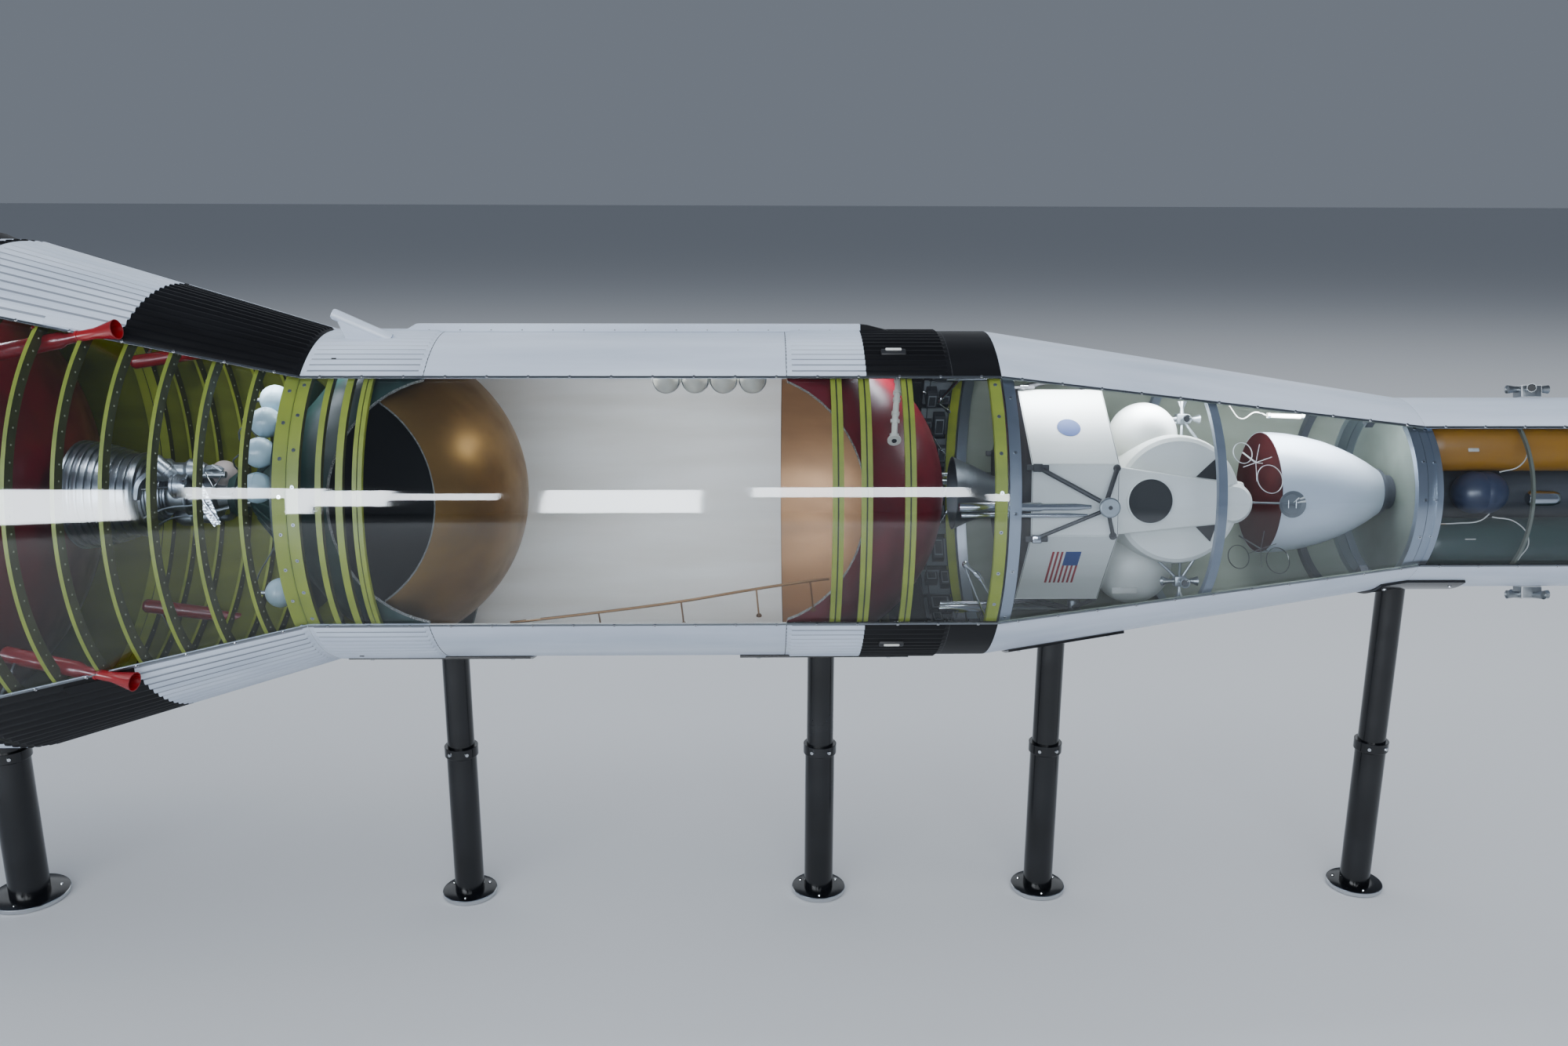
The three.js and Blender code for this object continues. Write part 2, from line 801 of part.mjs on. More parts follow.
piece(
  "lander_descent_stage",
  join(descentBody, revolve(DESCENT_BELL, 20), ...legs),
  CREAM,
);

// The ascent stage is a drum with its round face to the window, and a tapered band across it. Places
// on it are [station, distance towards the window's middle, distance across].
const ASCENT_AFT = DESCENT_FORE + GAP;

// Its round parts. Columns: station, distance across, near and far face, radius and sides.
const [drum, dockingNose, hatch] = [
  [3403, -2, 58, -46, 50, 32],
  [3445.5, -4.6, 60, -40, 16.5, 20],
  [3378.5, -1.9, 68.4, 60, 17.8, 20],
].map(([station, across, near, far, radius, sides]) =>
  rod(facing(station, near, across), facing(station, far, across), radius, sides),
);
const BAND = [
  [ASCENT_AFT, 67, -28],
  [ASCENT_AFT, 67, 25],
  [ASCENT_AFT, 20, -28],
  [ASCENT_AFT, 20, 25],
  [3440, 64, -19.6],
  [3440, 64, 11.5],
  [3440, 20, -19.6],
  [3440, 20, 11.5],
];
const band = hull(BAND.map((corner) => facing(...corner)));
const backBox = boxAt(3384, 20, WINDOW_MIDDLE + 180, 66, 50, 104);
const noseBox = boxAt(3440, 8, WINDOW_MIDDLE, 36, 84, 23);
const upperTank = ballAt(facing(3386, 18, 46), 27, 14);
const lowerTank = ballAt(facing(3384, 2, -58), 33, 14);
const DISH = { station: 3493, towards: 55, across: -5.5, radius: 10.4, deep: 2 };
const DISH_FOOT = [3450, 54, -4];
const dishMiddle = facing(DISH.station, DISH.towards, DISH.across);
const dish = join(
  rod(facing(...DISH_FOOT), dishMiddle, 1, 6),
  rod(
    facing(DISH.station, DISH.towards - DISH.deep, DISH.across),
    dishMiddle,
    DISH.radius,
    16,
  ),
);
const QUADS = [
  [3416, 22, 60],
  [3409, 48, -66],
  [3404, -60, 58],
  [3404, -60, -60],
];
const QUAD = { size: 5, reach: 14, nozzle: 2.6, strut: 2, strutFoot: 0.6 };
const nozzleQuads = QUADS.map(([station, towards, across]) => {
  const { size, reach, nozzle, strut, strutFoot } = QUAD;
  const centre = facing(station, towards, across);
  const outwards = towards + Math.sign(towards) * reach;
  return join(
    ballAt(centre, size, 6),
    rod(
      facing(station - reach, towards, across),
      facing(station + reach, towards, across),
      nozzle,
      6,
    ),
    rod(centre, facing(station, outwards, across), nozzle, 6),
    rod(centre, facing(station, towards * strutFoot, across * strutFoot), strut, 6),
  );
});
piece(
  "lander_ascent_stage",
  join(
    drum,
    band,
    dockingNose,
    hatch,
    backBox,
    noseBox,
    upperTank,
    lowerTank,
    dish,
    ...nozzleQuads,
  ),
  CREAM,
);

// The service module: skin, tanks between two bulkheads, and its engine bell in the adapter.
const SERVICE_INSIDE = SERVICE_RADIUS - SKIN - GAP;
const SERVICE_TANK = 20.5;
const SERVICE_TANK_PLACE = 50;
const SERVICE_TANK_TURNS = [52, 128, 232, 309.5];
const SERVICE_QUADS = [104, 194, 284];
const SERVICE_QUAD = {
  station: 3710.5,
  length: 17,
  depth: 10,
  width: 16,
  nozzlePlace: 84,
  nozzleAft: 3691,
  nozzleFore: 3726.5,
  nozzle: 3.4,
};
const serviceQuads = SERVICE_QUADS.map((degrees) => {
  const { station, length, depth, width, nozzlePlace, nozzleAft, nozzleFore, nozzle } =
    SERVICE_QUAD;
  return join(
    boxAt(station, SERVICE_RADIUS + depth / 2 - 1, degrees, length, depth, width),
    rod(
      [nozzleAft, nozzlePlace, degrees],
      [nozzleFore, nozzlePlace, degrees],
      nozzle,
    ),
  );
});
const serviceRib = hoop(3670.7, 2.2, 3.4);
piece(
  "service_module_skin",
  join(skinSection(SERVICE, SERVICE_FORE), serviceRib, ...serviceQuads),
  WHITE,
);
const BULKHEAD_THICK = 3;
const bulkhead = (station) =>
  revolve([
    [station, 0],
    [station, SERVICE_INSIDE],
    [station + BULKHEAD_THICK, SERVICE_INSIDE],
    [station + BULKHEAD_THICK, 0],
  ]);
const serviceCore = rod([SERVICE + 1, 0, 0], [SERVICE_FORE - 1, 0, 0], 22, 12);
const SERVICE_BALLS = [3645, 3654];
const serviceBalls = SERVICE_BALLS.map((station) =>
  ballAt(facing(station, 37, 2), 16.7, 12),
);
const serviceBottle = join(
  rod(facing(3684, 44, -2), facing(3710, 44, -2), 6, 10),
  rod(facing(3700, 20, -2), facing(3700, 44, -2), 2, 6),
);
const serviceTanks = SERVICE_TANK_TURNS.map((turn) =>
  rod(
    [SERVICE + 1, SERVICE_TANK_PLACE, WINDOW_MIDDLE + turn],
    [SERVICE_FORE - 1, SERVICE_TANK_PLACE, WINDOW_MIDDLE + turn],
    SERVICE_TANK,
    12,
  ),
);
piece(
  "service_module_tanks",
  join(
    bulkhead(SERVICE + SEAM),
    bulkhead(SERVICE_FORE - BULKHEAD_THICK - SEAM),
    serviceCore,
    ...serviceBalls,
    serviceBottle,
    ...serviceTanks,
  ),
  BRONZE,
);
piece(
  "service_engine_bell",
  revolve(
    [
      [3490, 0],
      [3490, 47.5],
      [3488, 49.2],
      [3512, 48],
      [3536, 43],
      [3560, 33],
      [3578, 22],
      [SERVICE - SEAM, 14],
      [SERVICE - SEAM, 0],
    ],
    28,
  ),
  WHITE,
);

// The command module under its cover, the escape tower and the escape motor.
const TOWER_FOOT = 3862;
const TOWER_HEAD = 4005;
const TOWER_FOOT_RADIUS = 20;
const TOWER_HEAD_RADIUS = 13;
const capsule = (more) =>
  revolve([
    [SERVICE_FORE + SEAM, 0],
    [SERVICE_FORE + SEAM, SERVICE_RADIUS + more],
    [SERVICE_FORE + 8, SERVICE_RADIUS + more],
    [3862, 22 + more],
    [3878, 15 + more],
    [3884 + more, 0],
  ]);
piece("command_module_cover", capsule(0), WHITE);
const TOWER_LEVELS = [3900, 3950, 3998];
const towerRadius = (station) =>
  THREE.MathUtils.mapLinear(
    station,
    TOWER_FOOT,
    TOWER_HEAD,
    TOWER_FOOT_RADIUS,
    TOWER_HEAD_RADIUS,
  );
const towerLegs = DIAGONALS.map((degrees) =>
  rod(
    [TOWER_FOOT, TOWER_FOOT_RADIUS, degrees],
    [TOWER_HEAD, TOWER_HEAD_RADIUS, degrees],
    1.8,
    4,
  ),
);
const rungs = TOWER_LEVELS.flatMap((station) =>
  DIAGONALS.map((degrees) =>
    rod(
      [station, towerRadius(station), degrees],
      [station, towerRadius(station), degrees + 90],
      1.2,
      4,
    ),
  ),
);
const braces = TOWER_LEVELS.slice(0, 2).flatMap((station, index) =>
  DIAGONALS.map((degrees) =>
    rod(
      [station, towerRadius(station), degrees],
      [TOWER_LEVELS[index + 1], towerRadius(TOWER_LEVELS[index + 1]), degrees + 90],
      1,
      4,
    ),
  ),
);
const towerPlate = revolve(
  [
    [TOWER_HEAD - 2, 0],
    [TOWER_HEAD - 2, 15],
    [TOWER_HEAD, 15],
    [TOWER_HEAD, 0],
  ],
  16,
);
piece(
  "escape_tower",
  cut(join(towerPlate, ...towerLegs, ...rungs, ...braces), capsule(GAP)),
  WHITE,
);
const escapeNozzles = DIAGONALS.map((degrees) =>
  rod([4040, 12, degrees], [4018, 21, degrees], 5, 6),
);
piece(
  "escape_motor",
  join(
    revolve(
      [
        [TOWER_HEAD + GAP, 0],
        [TOWER_HEAD + GAP, 17],
        [4012, 17],
        [4034, 13],
        [4188, 13],
        [4210, 9.5],
        [4230, 4],
        [NOSE, 0],
      ],
      20,
    ),
    ...escapeNozzles,
  ),
  WHITE,
);

// The long boxes over the wiring, on the top of the second and third stages.
const TUNNEL_PLACE = 95;
const TUNNEL_ROOT = 4;
function tunnel(from, to, radius, height, width) {
  const middle = radius + (height - TUNNEL_ROOT) / 2;
  const box = boxAt(
    (from + to) / 2,
    middle,
    TUNNEL_PLACE,
    to - from,
    height + TUNNEL_ROOT,
    width,
  );
  const clearance = revolve([
    [from - 5, 0],
    [from - 5, radius + GAP],
    [to + 5, radius + GAP],
    [to + 5, 0],
  ]);
  return cut(box, clearance);
}
piece("third_stage_tunnel", tunnel(2804, 3186, THIRD_RADIUS, 5.5, 28), WHITE);
piece("second_stage_tunnel", tunnel(1780, 2505, LARGE_RADIUS, 7, 34), WHITE);

// The swept fairing on the aft skirt: a round-topped tube that leans aft, on a wall of sheet.
const SWEPT = { foot: [2801, 129.5, 78], tip: [2759.6, 149.7, 78], radius: 4.2 };
const SWEPT_WALL_TURN = 1.7;
const sweptWall = [
  [2769, 129],
  [2801, 129],
  [2764, 144],
  [2768, 147],
  [2796, 133],
].flatMap(([station, radius]) =>
  [-1, 1].map((side) => [station, radius, SWEPT.foot[2] + side * SWEPT_WALL_TURN]),
);
const skirtClearance = revolve([
  [THIRD_BASE, 0],
  [THIRD_BASE, THIRD_RADIUS + GAP],
  [THIRD_TANK, THIRD_RADIUS + GAP],
  [THIRD_TANK, 0],
]);
piece(
  "aft_skirt_swept_fairing",
  cut(
    join(rod(SWEPT.foot, SWEPT.tip, SWEPT.radius, 12), hull(sweptWall)),
    skirtClearance,
  ),
  WHITE,
);

// Clear panels over the window. Columns: name, and the stations of its ends.
const COVERS = [
  ["cover_first_stage_aft", THRUST_AFT, LOX_AFT],
  ["cover_first_stage_fore", LOX_AFT, FIRST_TOP],
  ["cover_second_stage", FIRST_TOP, SECOND_TOP],
  ["cover_interstage", SECOND_TOP, THIRD_BASE],
  ["cover_third_stage", THIRD_BASE, ADAPTER],
  ["cover_adapter", ADAPTER, SERVICE],
  ["cover_service_module", SERVICE, SERVICE_FORE],
];
const COVER_THICK = SKIN - 2 * GAP;
const COVER_TRIM = 0.09;
for (const [name, from, to] of COVERS) {
  const [a, b] = [from + SEAM, to - SEAM];
  const shell = revolve([
    [a, bodyRadius(a)],
    [b, bodyRadius(b)],
    [b, bodyRadius(b) - COVER_THICK],
    [a, bodyRadius(a) - COVER_THICK],
  ]);
  const panel = wedge(
    WINDOW_LOW + COVER_TRIM,
    WINDOW_HIGH - COVER_TRIM,
    from - 1,
    to + 1,
  );
  piece(name, cut(shell.intersect(panel), ...motorRods(MOTOR_CLEARANCE)), CLEAR);
}

// The posts stand on the floor, in millimetres, each under a curved saddle. Columns: name, station,
// then millimetres off the middle line, tube radius, base radius and saddle length.
const POSTS = [
  ["post_aft_left", 500, 250, 38, 90, 300],
  ["post_aft_right", 500, -250, 38, 90, 300],
  ["post_middle_left", 1270, 250, 38, 90, 300],
  ["post_middle_right", 1270, -250, 38, 90, 300],
  ["post_second_left", 1950, 250, 38, 90, 300],
  ["post_second_right", 1950, -250, 38, 90, 300],
  ["post_second_fore", 2449, 0, 38, 80, 320],
  ["post_third_aft", 2828, 0, 28.5, 59, 363],
  ["post_third_fore", 3132, 0, 28.5, 59, 340],
  ["post_adapter", 3325, 0, 28.5, 59, 237],
  ["post_service", 3607, 0, 28.5, 59, 174],
];
const SADDLE_WIDTH = 260;
const SADDLE_THICK = 6;
const SADDLE_GAP = 0.3;
const BASE_THICK = 10;
const SLEEVE_TOP = 330;
const COLLAR_TOP = 352;
const SLEEVE_MORE = 3;
const COLLAR_MORE = 7;
const POST_ROUND = 12;

// The body's outline between two stations, grown by so many millimetres, in the stand's frame.
function bodyGrown(from, to, more) {
  const corners = BODY_LINE.filter(([station]) => station > from && station < to);
  const line = [[from, bodyRadius(from)], ...corners, [to, bodyRadius(to)]];
  const grown = line.map(([station, radius]) => [station, radius + more / INCH]);
  return revolve([[from, 0], ...grown, [to, 0]])
    .scale([INCH, INCH, INCH])
    .translate(0, 0, AXIS_HEIGHT);
}

for (const [name, station, off, tube, base, length] of POSTS) {
  const place = at(station) * INCH;
  const half = length / 2 / INCH;
  const reach = bodyRadius(station) * INCH;
  const top = AXIS_HEIGHT - Math.sqrt(reach ** 2 - off ** 2);
  const outline = [
    [0, 0],
    [base, 0],
    [base, BASE_THICK],
    [tube + SLEEVE_MORE, BASE_THICK],
    [tube + SLEEVE_MORE, SLEEVE_TOP],
    [tube + COLLAR_MORE, SLEEVE_TOP],
    [tube + COLLAR_MORE, COLLAR_TOP],
    [tube, COLLAR_TOP],
    [tube, top],
    [0, top],
  ].map(([r, z]) => new THREE.Vector2(r, z));
  const column = new THREE.LatheGeometry(outline, POST_ROUND).rotateX(Math.PI / 2);
  const band = new THREE.BoxGeometry(length * 2, SADDLE_WIDTH, reach);
  band.translate(place, off, AXIS_HEIGHT - reach);
  const saddle = bodyGrown(station - half, station + half, SADDLE_THICK);
  const post = join(
    solid(column).translate(place, off, 0),
    saddle.intersect(solid(band)),
  );
  const body = bodyGrown(station - 2 * half, station + 2 * half, SADDLE_GAP);
  piece(name, cut(post, body), BLACK, stand);
}

export default model;
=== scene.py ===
import math

import bmesh
import bpy
from mathutils import Matrix, Vector


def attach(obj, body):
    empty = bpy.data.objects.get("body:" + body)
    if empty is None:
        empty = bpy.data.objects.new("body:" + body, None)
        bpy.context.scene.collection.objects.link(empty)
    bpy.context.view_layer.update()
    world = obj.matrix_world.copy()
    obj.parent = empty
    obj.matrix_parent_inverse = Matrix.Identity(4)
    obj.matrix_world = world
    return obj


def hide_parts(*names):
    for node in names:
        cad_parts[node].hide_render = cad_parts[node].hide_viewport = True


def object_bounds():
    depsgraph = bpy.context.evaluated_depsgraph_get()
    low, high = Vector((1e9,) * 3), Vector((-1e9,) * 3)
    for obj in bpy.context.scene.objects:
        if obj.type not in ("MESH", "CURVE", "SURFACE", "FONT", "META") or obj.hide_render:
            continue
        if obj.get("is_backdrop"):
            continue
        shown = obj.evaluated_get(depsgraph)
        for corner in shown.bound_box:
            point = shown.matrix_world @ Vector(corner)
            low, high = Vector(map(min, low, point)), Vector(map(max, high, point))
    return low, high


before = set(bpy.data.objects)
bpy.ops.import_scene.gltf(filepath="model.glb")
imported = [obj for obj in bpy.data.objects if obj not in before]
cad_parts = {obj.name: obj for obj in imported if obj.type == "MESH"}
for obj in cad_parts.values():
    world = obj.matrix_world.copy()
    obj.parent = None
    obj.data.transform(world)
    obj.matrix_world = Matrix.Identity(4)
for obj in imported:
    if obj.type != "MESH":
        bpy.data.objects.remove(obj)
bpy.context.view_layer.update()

# The skins. Each section of the rocket is a tube or cone of rolled sheet, with a quarter of it cut
# away for the window. Sections without a tank behind them are stiffened by 120 pressed stringers.
# They are sprayed white and black outside, and inside with primer, or lined, as the tank is.
INCH = 0.00254  # an inch of the full-size vehicle, at one to ten, in metres
MIDDLE_STATION = 2062.5
AXIS_HEIGHT = 0.905
BODY_LINE = [
    (116, 198),
    (2519, 198),
    (2747, 130),
    (3258.6, 130),
    (3594.6, 77),
    (3749.8, 77),
]
SKIN = 2.4
TOUCHING = 1e-6  # metres; points closer than this are one point
WINDOW_LOW, WINDOW_HIGH = -36, 54
WINDOW_MIDDLE = (WINDOW_LOW + WINDOW_HIGH) / 2
STRINGER_PITCH = 3
STRINGER_RISE = 1.5


def at(station, radius=0, degrees=0):
    """The point at a station, a radius and an angle round the axis, level at the window being 0."""
    turn = math.radians(degrees)
    return Vector((
        (station - MIDDLE_STATION) * INCH,
        -radius * INCH * math.cos(turn),
        AXIS_HEIGHT + radius * INCH * math.sin(turn),
    ))


def polar(point):
    """The station, radius and angle of a point."""
    up, side = point.z - AXIS_HEIGHT, -point.y
    station = point.x / INCH + MIDDLE_STATION
    return station, math.hypot(up, side) / INCH, math.degrees(math.atan2(up, side))


def body_radius(station):
    """The skin's outer radius at a station."""
    for (a, ra), (b, rb) in zip(BODY_LINE, BODY_LINE[1:]):
        if station <= b:
            return ra + (rb - ra) * (station - a) / (b - a)
    return BODY_LINE[-1][1]


def points_of(faces):
    """The points of some faces, each once."""
    return list(dict.fromkeys(vert for face in faces for vert in face.verts))


def spin_row(bm, row, centre, axis, finish, steps, turn=360, shut=True, touching=TOUCHING):
    """Spins a row of points about a line through a centre. A shut row is a loop, and its shell has
    closed ends where the turn is less than a whole one."""
    whole = turn == 360
    first = len(bm.faces)
    verts = [bm.verts.new(point) for point in row]
    pairs = list(zip(verts, verts[1:]))
    if shut:
        pairs.append((verts[-1], verts[0]))
    edges = [bm.edges.new(pair) for pair in pairs]
    faces = [bm.faces.new(verts)] if shut and not whole else []
    bmesh.ops.spin(
        bm,
        geom=verts + edges + faces,
        cent=centre,
        axis=axis,
        angle=math.radians(turn),
        steps=steps,
        use_merge=whole,
    )
    bm.faces.ensure_lookup_table()
    bmesh.ops.remove_doubles(bm, verts=points_of(bm.faces[first:]), dist=touching)
    bm.faces.ensure_lookup_table()
    made = bm.faces[first:]
    bmesh.ops.recalc_face_normals(bm, faces=made)
    for face in made:
        face.material_index = finish
    return made


def lathe(bm, outline, finish=0, low=0, high=360, steps=48, centre=None, shut=True):
    """Turns an outline of (station, radius) about the axis, or about the line through a centre."""
    shift = at(0, *centre) - at(0) if centre else Vector()
    row = [at(*point, low) + shift for point in outline]
    off_axis = bool(outline[0][1] or outline[-1][1])
    turn = high - low
    return spin_row(bm, row, at(0) + shift, (-1, 0, 0), finish, steps, turn, shut and off_axis)


def into_piece(bm, name, finishes, nodes=(), sharp=32):
    """Makes a bmesh an object that rides on the rocket, with creases past an angle."""
    for face in bm.faces:
        face.smooth = True
    for edge in bm.edges:
        if len(edge.link_faces) == 2:
            edge.smooth = edge.calc_face_angle(0) < math.radians(sharp)
    mesh = bpy.data.meshes.new(name)
    bm.to_mesh(mesh)
    bm.free()
    for finish in finishes:
        mesh.materials.append(finish)
    piece = bpy.data.objects.new(name, mesh)
    bpy.context.scene.collection.objects.link(piece)
    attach(piece, "root")
    if nodes:
        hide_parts(*nodes)
    return piece


def linear(code):
    """An sRGB hex value as linear colour."""
    shares = [int(code[i : i + 2], 16) / 255 for i in (1, 3, 5)]
    return [s / 12.92 if s <= 0.04045 else ((s + 0.055) / 1.055) ** 2.4 for s in shares] + [1]


def add(tree, kind, inputs, **settings):
    """Adds a node, with values or links for its inputs."""
    made = tree.nodes.new("ShaderNode" + kind)
    for name, value in settings.items():
        setattr(made, name, value)
    for name, value in inputs.items():
        if isinstance(value, bpy.types.NodeSocket):
            tree.links.new(value, made.inputs[name])
        else:
            made.inputs[name].default_value = value
    return made


def new_finish(name):
    """A new material, its nodes, its shader and the place of a point on the piece."""
    finish = bpy.data.materials.new(name)
    finish.use_nodes = True
    tree = finish.node_tree
    place = add(tree, "TexCoord", {}).outputs["Object"]
    return finish, tree, tree.nodes["Principled BSDF"], place


def sprayed(name, code, worn, roughness=0.4, metallic=0.0, sheen=0.5):
    """Sprayed enamel over sheet metal: satin, uneven in tone over a hand's width, dulled by dust in
    streaks along the body, with orange peel 2 mm across. worn is the colour of its dull patches, and
    sheen the strength of its shine."""
    finish, tree, shader, place = new_finish(name)
    streaked = add(tree, "Mapping", {"Vector": place, "Scale": (2, 14, 14)}).outputs[0]
    patches = add(tree, "TexNoise", {"Vector": streaked, "Scale": 1, "Detail": 6})
    peel = add(tree, "TexNoise", {"Vector": place, "Scale": 500, "Detail": 1})
    spread = {"Value": patches.outputs["Fac"], "From Min": 0.35, "From Max": 0.75}
    share = add(tree, "MapRange", spread).outputs["Result"]
    tone = add(tree, "MixRGB", {"Fac": share, "Color1": linear(code), "Color2": linear(worn)})
    dull = add(tree, "MapRange", {"Value": share, "To Min": roughness, "To Max": roughness + 0.15})
    rise = {"Height": peel.outputs["Fac"], "Strength": 0.06, "Distance": 0.0005}
    bump = add(tree, "Bump", rise)
    tree.links.new(tone.outputs["Color"], shader.inputs["Base Color"])
    tree.links.new(dull.outputs["Result"], shader.inputs["Roughness"])
    tree.links.new(bump.outputs["Normal"], shader.inputs["Normal"])
    shader.inputs["Metallic"].default_value = metallic
    shader.inputs["Specular IOR Level"].default_value = sheen
    return finish


white_enamel = sprayed("white_enamel", "#D3DDEC", "#BAC5D7", 0.34)
black_enamel = sprayed("black_enamel", "#0B0B0E", "#131418", 0.5, 0, 0.22)
yellow_primer = sprayed("zinc_chromate_primer", "#9BA326", "#7F8A1B", 0.5)
wall_primer = sprayed("dull_chromate_primer", "#747A1A", "#5C6214", 0.6, 0, 0.3)
dark_lining = sprayed("dark_lining", "#121215", "#1C1A19", 0.6, 0, 0.3)
cream_lining = sprayed("cream_foam_lining", "#D9D6D1", "#C6C1B8", 0.75)
pale_green_lining = sprayed("pale_green_primer", "#8F9488", "#7A8072", 0.55)
# A darker copy of the white enamel for the floors between stringers: painted shade in the grooves.
groove_shade_white = sprayed("painted_groove_shade_white", "#8B929E", "#767D89", 0.5)
SKIN_FINISHES = [
    white_enamel,
    black_enamel,
    wall_primer,
    dark_lining,
    cream_lining,
    pale_green_lining,
    groove_shade_white,
]
WHITE, BLACK, YELLOW, DARK, CREAM, PALE, GROOVE_SHADE = range(7)


def quarters(first, second):
    """Two colours by turns, a quarter each, changing at the window's middle."""
    return lambda degrees: (first, second)[int((degrees - WINDOW_MIDDLE) % 360 // 90) % 2]


def plain(colour):
    """One colour all round."""
    return lambda degrees: colour


# Columns: CAD node, its ends, whether it has stringers, inside, and (station, colours up to there).
SKINS = [
    ("first_stage_thrust_skin", 116, 365, True, YELLOW, [(365, quarters(BLACK, WHITE))]),
    ("first_stage_fuel_tank", 365, 602, False, DARK, [(602, plain(WHITE))]),
    ("first_stage_intertank", 602, 865, True, YELLOW, [(865, quarters(BLACK, WHITE))]),
    ("first_stage_oxidizer_tank", 865, 1401, False, DARK, [(1401, plain(WHITE))]),
    ("first_stage_forward_skirt", 1401, 1541, True, YELLOW, [(1541, quarters(WHITE, BLACK))]),
    ("second_stage_interstage", 1541, 1760, True, YELLOW, [(1760, plain(WHITE))]),
    ("second_stage_aft_skirt", 1760, 1848, True, YELLOW, [(1848, plain(WHITE))]),
    ("second_stage_tank", 1848, 2385, False, CREAM, [(2385, plain(WHITE))]),
    (
        "second_stage_forward_skirt",
        2385,
        2519,
        True,
        YELLOW,
        [(2512, plain(WHITE)), (2519, plain(BLACK))],
    ),
    (
        "interstage",
        2519,
        2747,
        True,
        YELLOW,
        [(2630, quarters(WHITE, BLACK)), (2747, quarters(BLACK, WHITE))],
    ),
    ("third_stage_aft_skirt", 2747, 2836, True, DARK, [(2836, plain(WHITE))]),
    ("third_stage_tank", 2836, 3100.6, False, CREAM, [(3100.6, plain(WHITE))]),
    (
        "third_stage_forward_skirt",
        3100.6,
        3222.6,
        True,
        DARK,
        [(3159, plain(WHITE)), (3222.6, plain(BLACK))],
    ),
    ("instrument_unit", 3222.6, 3258.6, False, DARK, [(3258.6, plain(BLACK))]),
    ("adapter_skin", 3258.6, 3594.6, False, PALE, [(3594.6, plain(WHITE))]),
    ("service_module_skin", 3594.6, 3749.8, False, DARK, [(3749.8, plain(WHITE))]),
]
SEAM = 0.06
STRINGER_END = 3
SMOOTH_STEP = 2.25  # degrees a facet


def raise_stringers(faces, low, step, ends):
    """Lifts two columns of points in every four to make the stringers."""
    points = {vert for face in faces for vert in face.verts}
    for vert in points:
        station, radius, degrees = polar(vert.co)
        column = round((degrees - low) % 360 / step) % 4
        outside = radius > body_radius(station) - 0.1
        if column in (1, 2) and outside and ends[0] < station < ends[1]:
            vert.co = at(station, radius + STRINGER_RISE, degrees)


for node, start, end, stringers, inside, colours in SKINS:
    bm = bmesh.new()
    stops = [start + SEAM, *[station for station, _ in colours[:-1]], end - SEAM]
    if stringers:
        stops += [start + STRINGER_END, start + STRINGER_END + 1]
        stops += [end - STRINGER_END - 1, end - STRINGER_END]
    stops.sort()
    outline = [(station, body_radius(station)) for station in stops]
    outline += [(s, body_radius(s) - SKIN) for s in (stops[-1], stops[0])]
    step = STRINGER_PITCH / 4 if stringers else SMOOTH_STEP
    low, high = WINDOW_HIGH, WINDOW_LOW + 360
    faces = lathe(bm, outline, WHITE, low, high, round((high - low) / step))
    for face in faces:
        station, radius, degrees = polar(face.calc_center_median())
        if radius < body_radius(station) - SKIN / 2:
            face.material_index = inside
        else:
            rule = next(rule for limit, rule in colours if station <= limit)
            face.material_index = rule(degrees)
            # The floor between two stringers on white skin gets the darker white, as painted shade.
            groove = stringers and (degrees - low) % 360 / step % 4 > 3
            if groove and face.material_index == WHITE and start + 4 < station < end - 4:
                face.material_index = GROOVE_SHADE
    if stringers:
        ends = (start + STRINGER_END + 0.5, end - STRINGER_END - 0.5)
        raise_stringers(faces, low, step, ends)
    into_piece(bm, node + "_skin", SKIN_FINISHES, [node])

# The ring frames. Each is a bent channel of primed sheet, an outer flange, a web and an inner flange,
# and it runs all the way round inside the skin. Rivets hold the web. The web has painted shade, a
# darker copy of the primer. Some are pairs of flat strips with a groove between them, painted dark as
# shade.
# A darker copy of the primer: painted shade on the frames' webs and in the strips' grooves.
shaded_primer = sprayed("painted_shade_primer", "#4A4A22", "#3A3A1A", 0.55)
rivet_pale = sprayed("bare_rivets", "#A9A98C", "#8F8F74", 0.4, 0.3)
RIVET_RADIUS = 0.7
# Columns: station, flange width, depth and degrees between rivets.
CHANNELS = [
    (240, 6, 8, 6),
    (734, 6, 8, 6),
    (1536, 8, 8, 6),
    (1650, 6, 8, 6),
    (1764, 7, 8, 6),
    (2514, 8, 8, 6),
    (2524, 8, 8, 6),
    (2550.6, 2.4, 10, 4),
    (2578.8, 2.4, 10, 4),
    (2607, 2.4, 10, 4),
    (2634.5, 2.4, 10, 4),
    (2662.8, 2.4, 10, 4),
    (2690.5, 2.4, 10, 4),
    (2718.3, 2.4, 10, 4),
    (2742.4, 8.8, 5, 0),
    (2751.3, 8.4, 5, 0),
    (2769.2, 4.2, 5.5, 0),
    (2783.9, 5, 5, 0),
    (3253.4, 8.4, 5, 0),
]
FLANGE_WALL = 0.5
FRAME_GAP = 0.05
RING_STEPS = 160
# Columns: station, whole width and groove width.
STRIPS = [(2796.5, 6.8, 0.8), (3136.7, 8, 1.2), (3157.3, 8, 1.2), (3188.5, 8, 1.2)]


def stud(bm, point, outwards, radius, height, finish, sides, taper=0.8):
    """A short round head that stands on a point."""
    turn = outwards.to_track_quat("Z", "Y").to_matrix().to_4x4()
    made = bmesh.ops.create_cone(
        bm,
        cap_ends=True,
        segments=sides,
        radius1=radius * INCH,
        radius2=radius * taper * INCH,
        depth=height * INCH,
        matrix=Matrix.Translation(point + outwards * height * INCH / 2) @ turn,
    )
    for face in {face for vert in made["verts"] for face in vert.link_faces}:
        face.material_index = finish


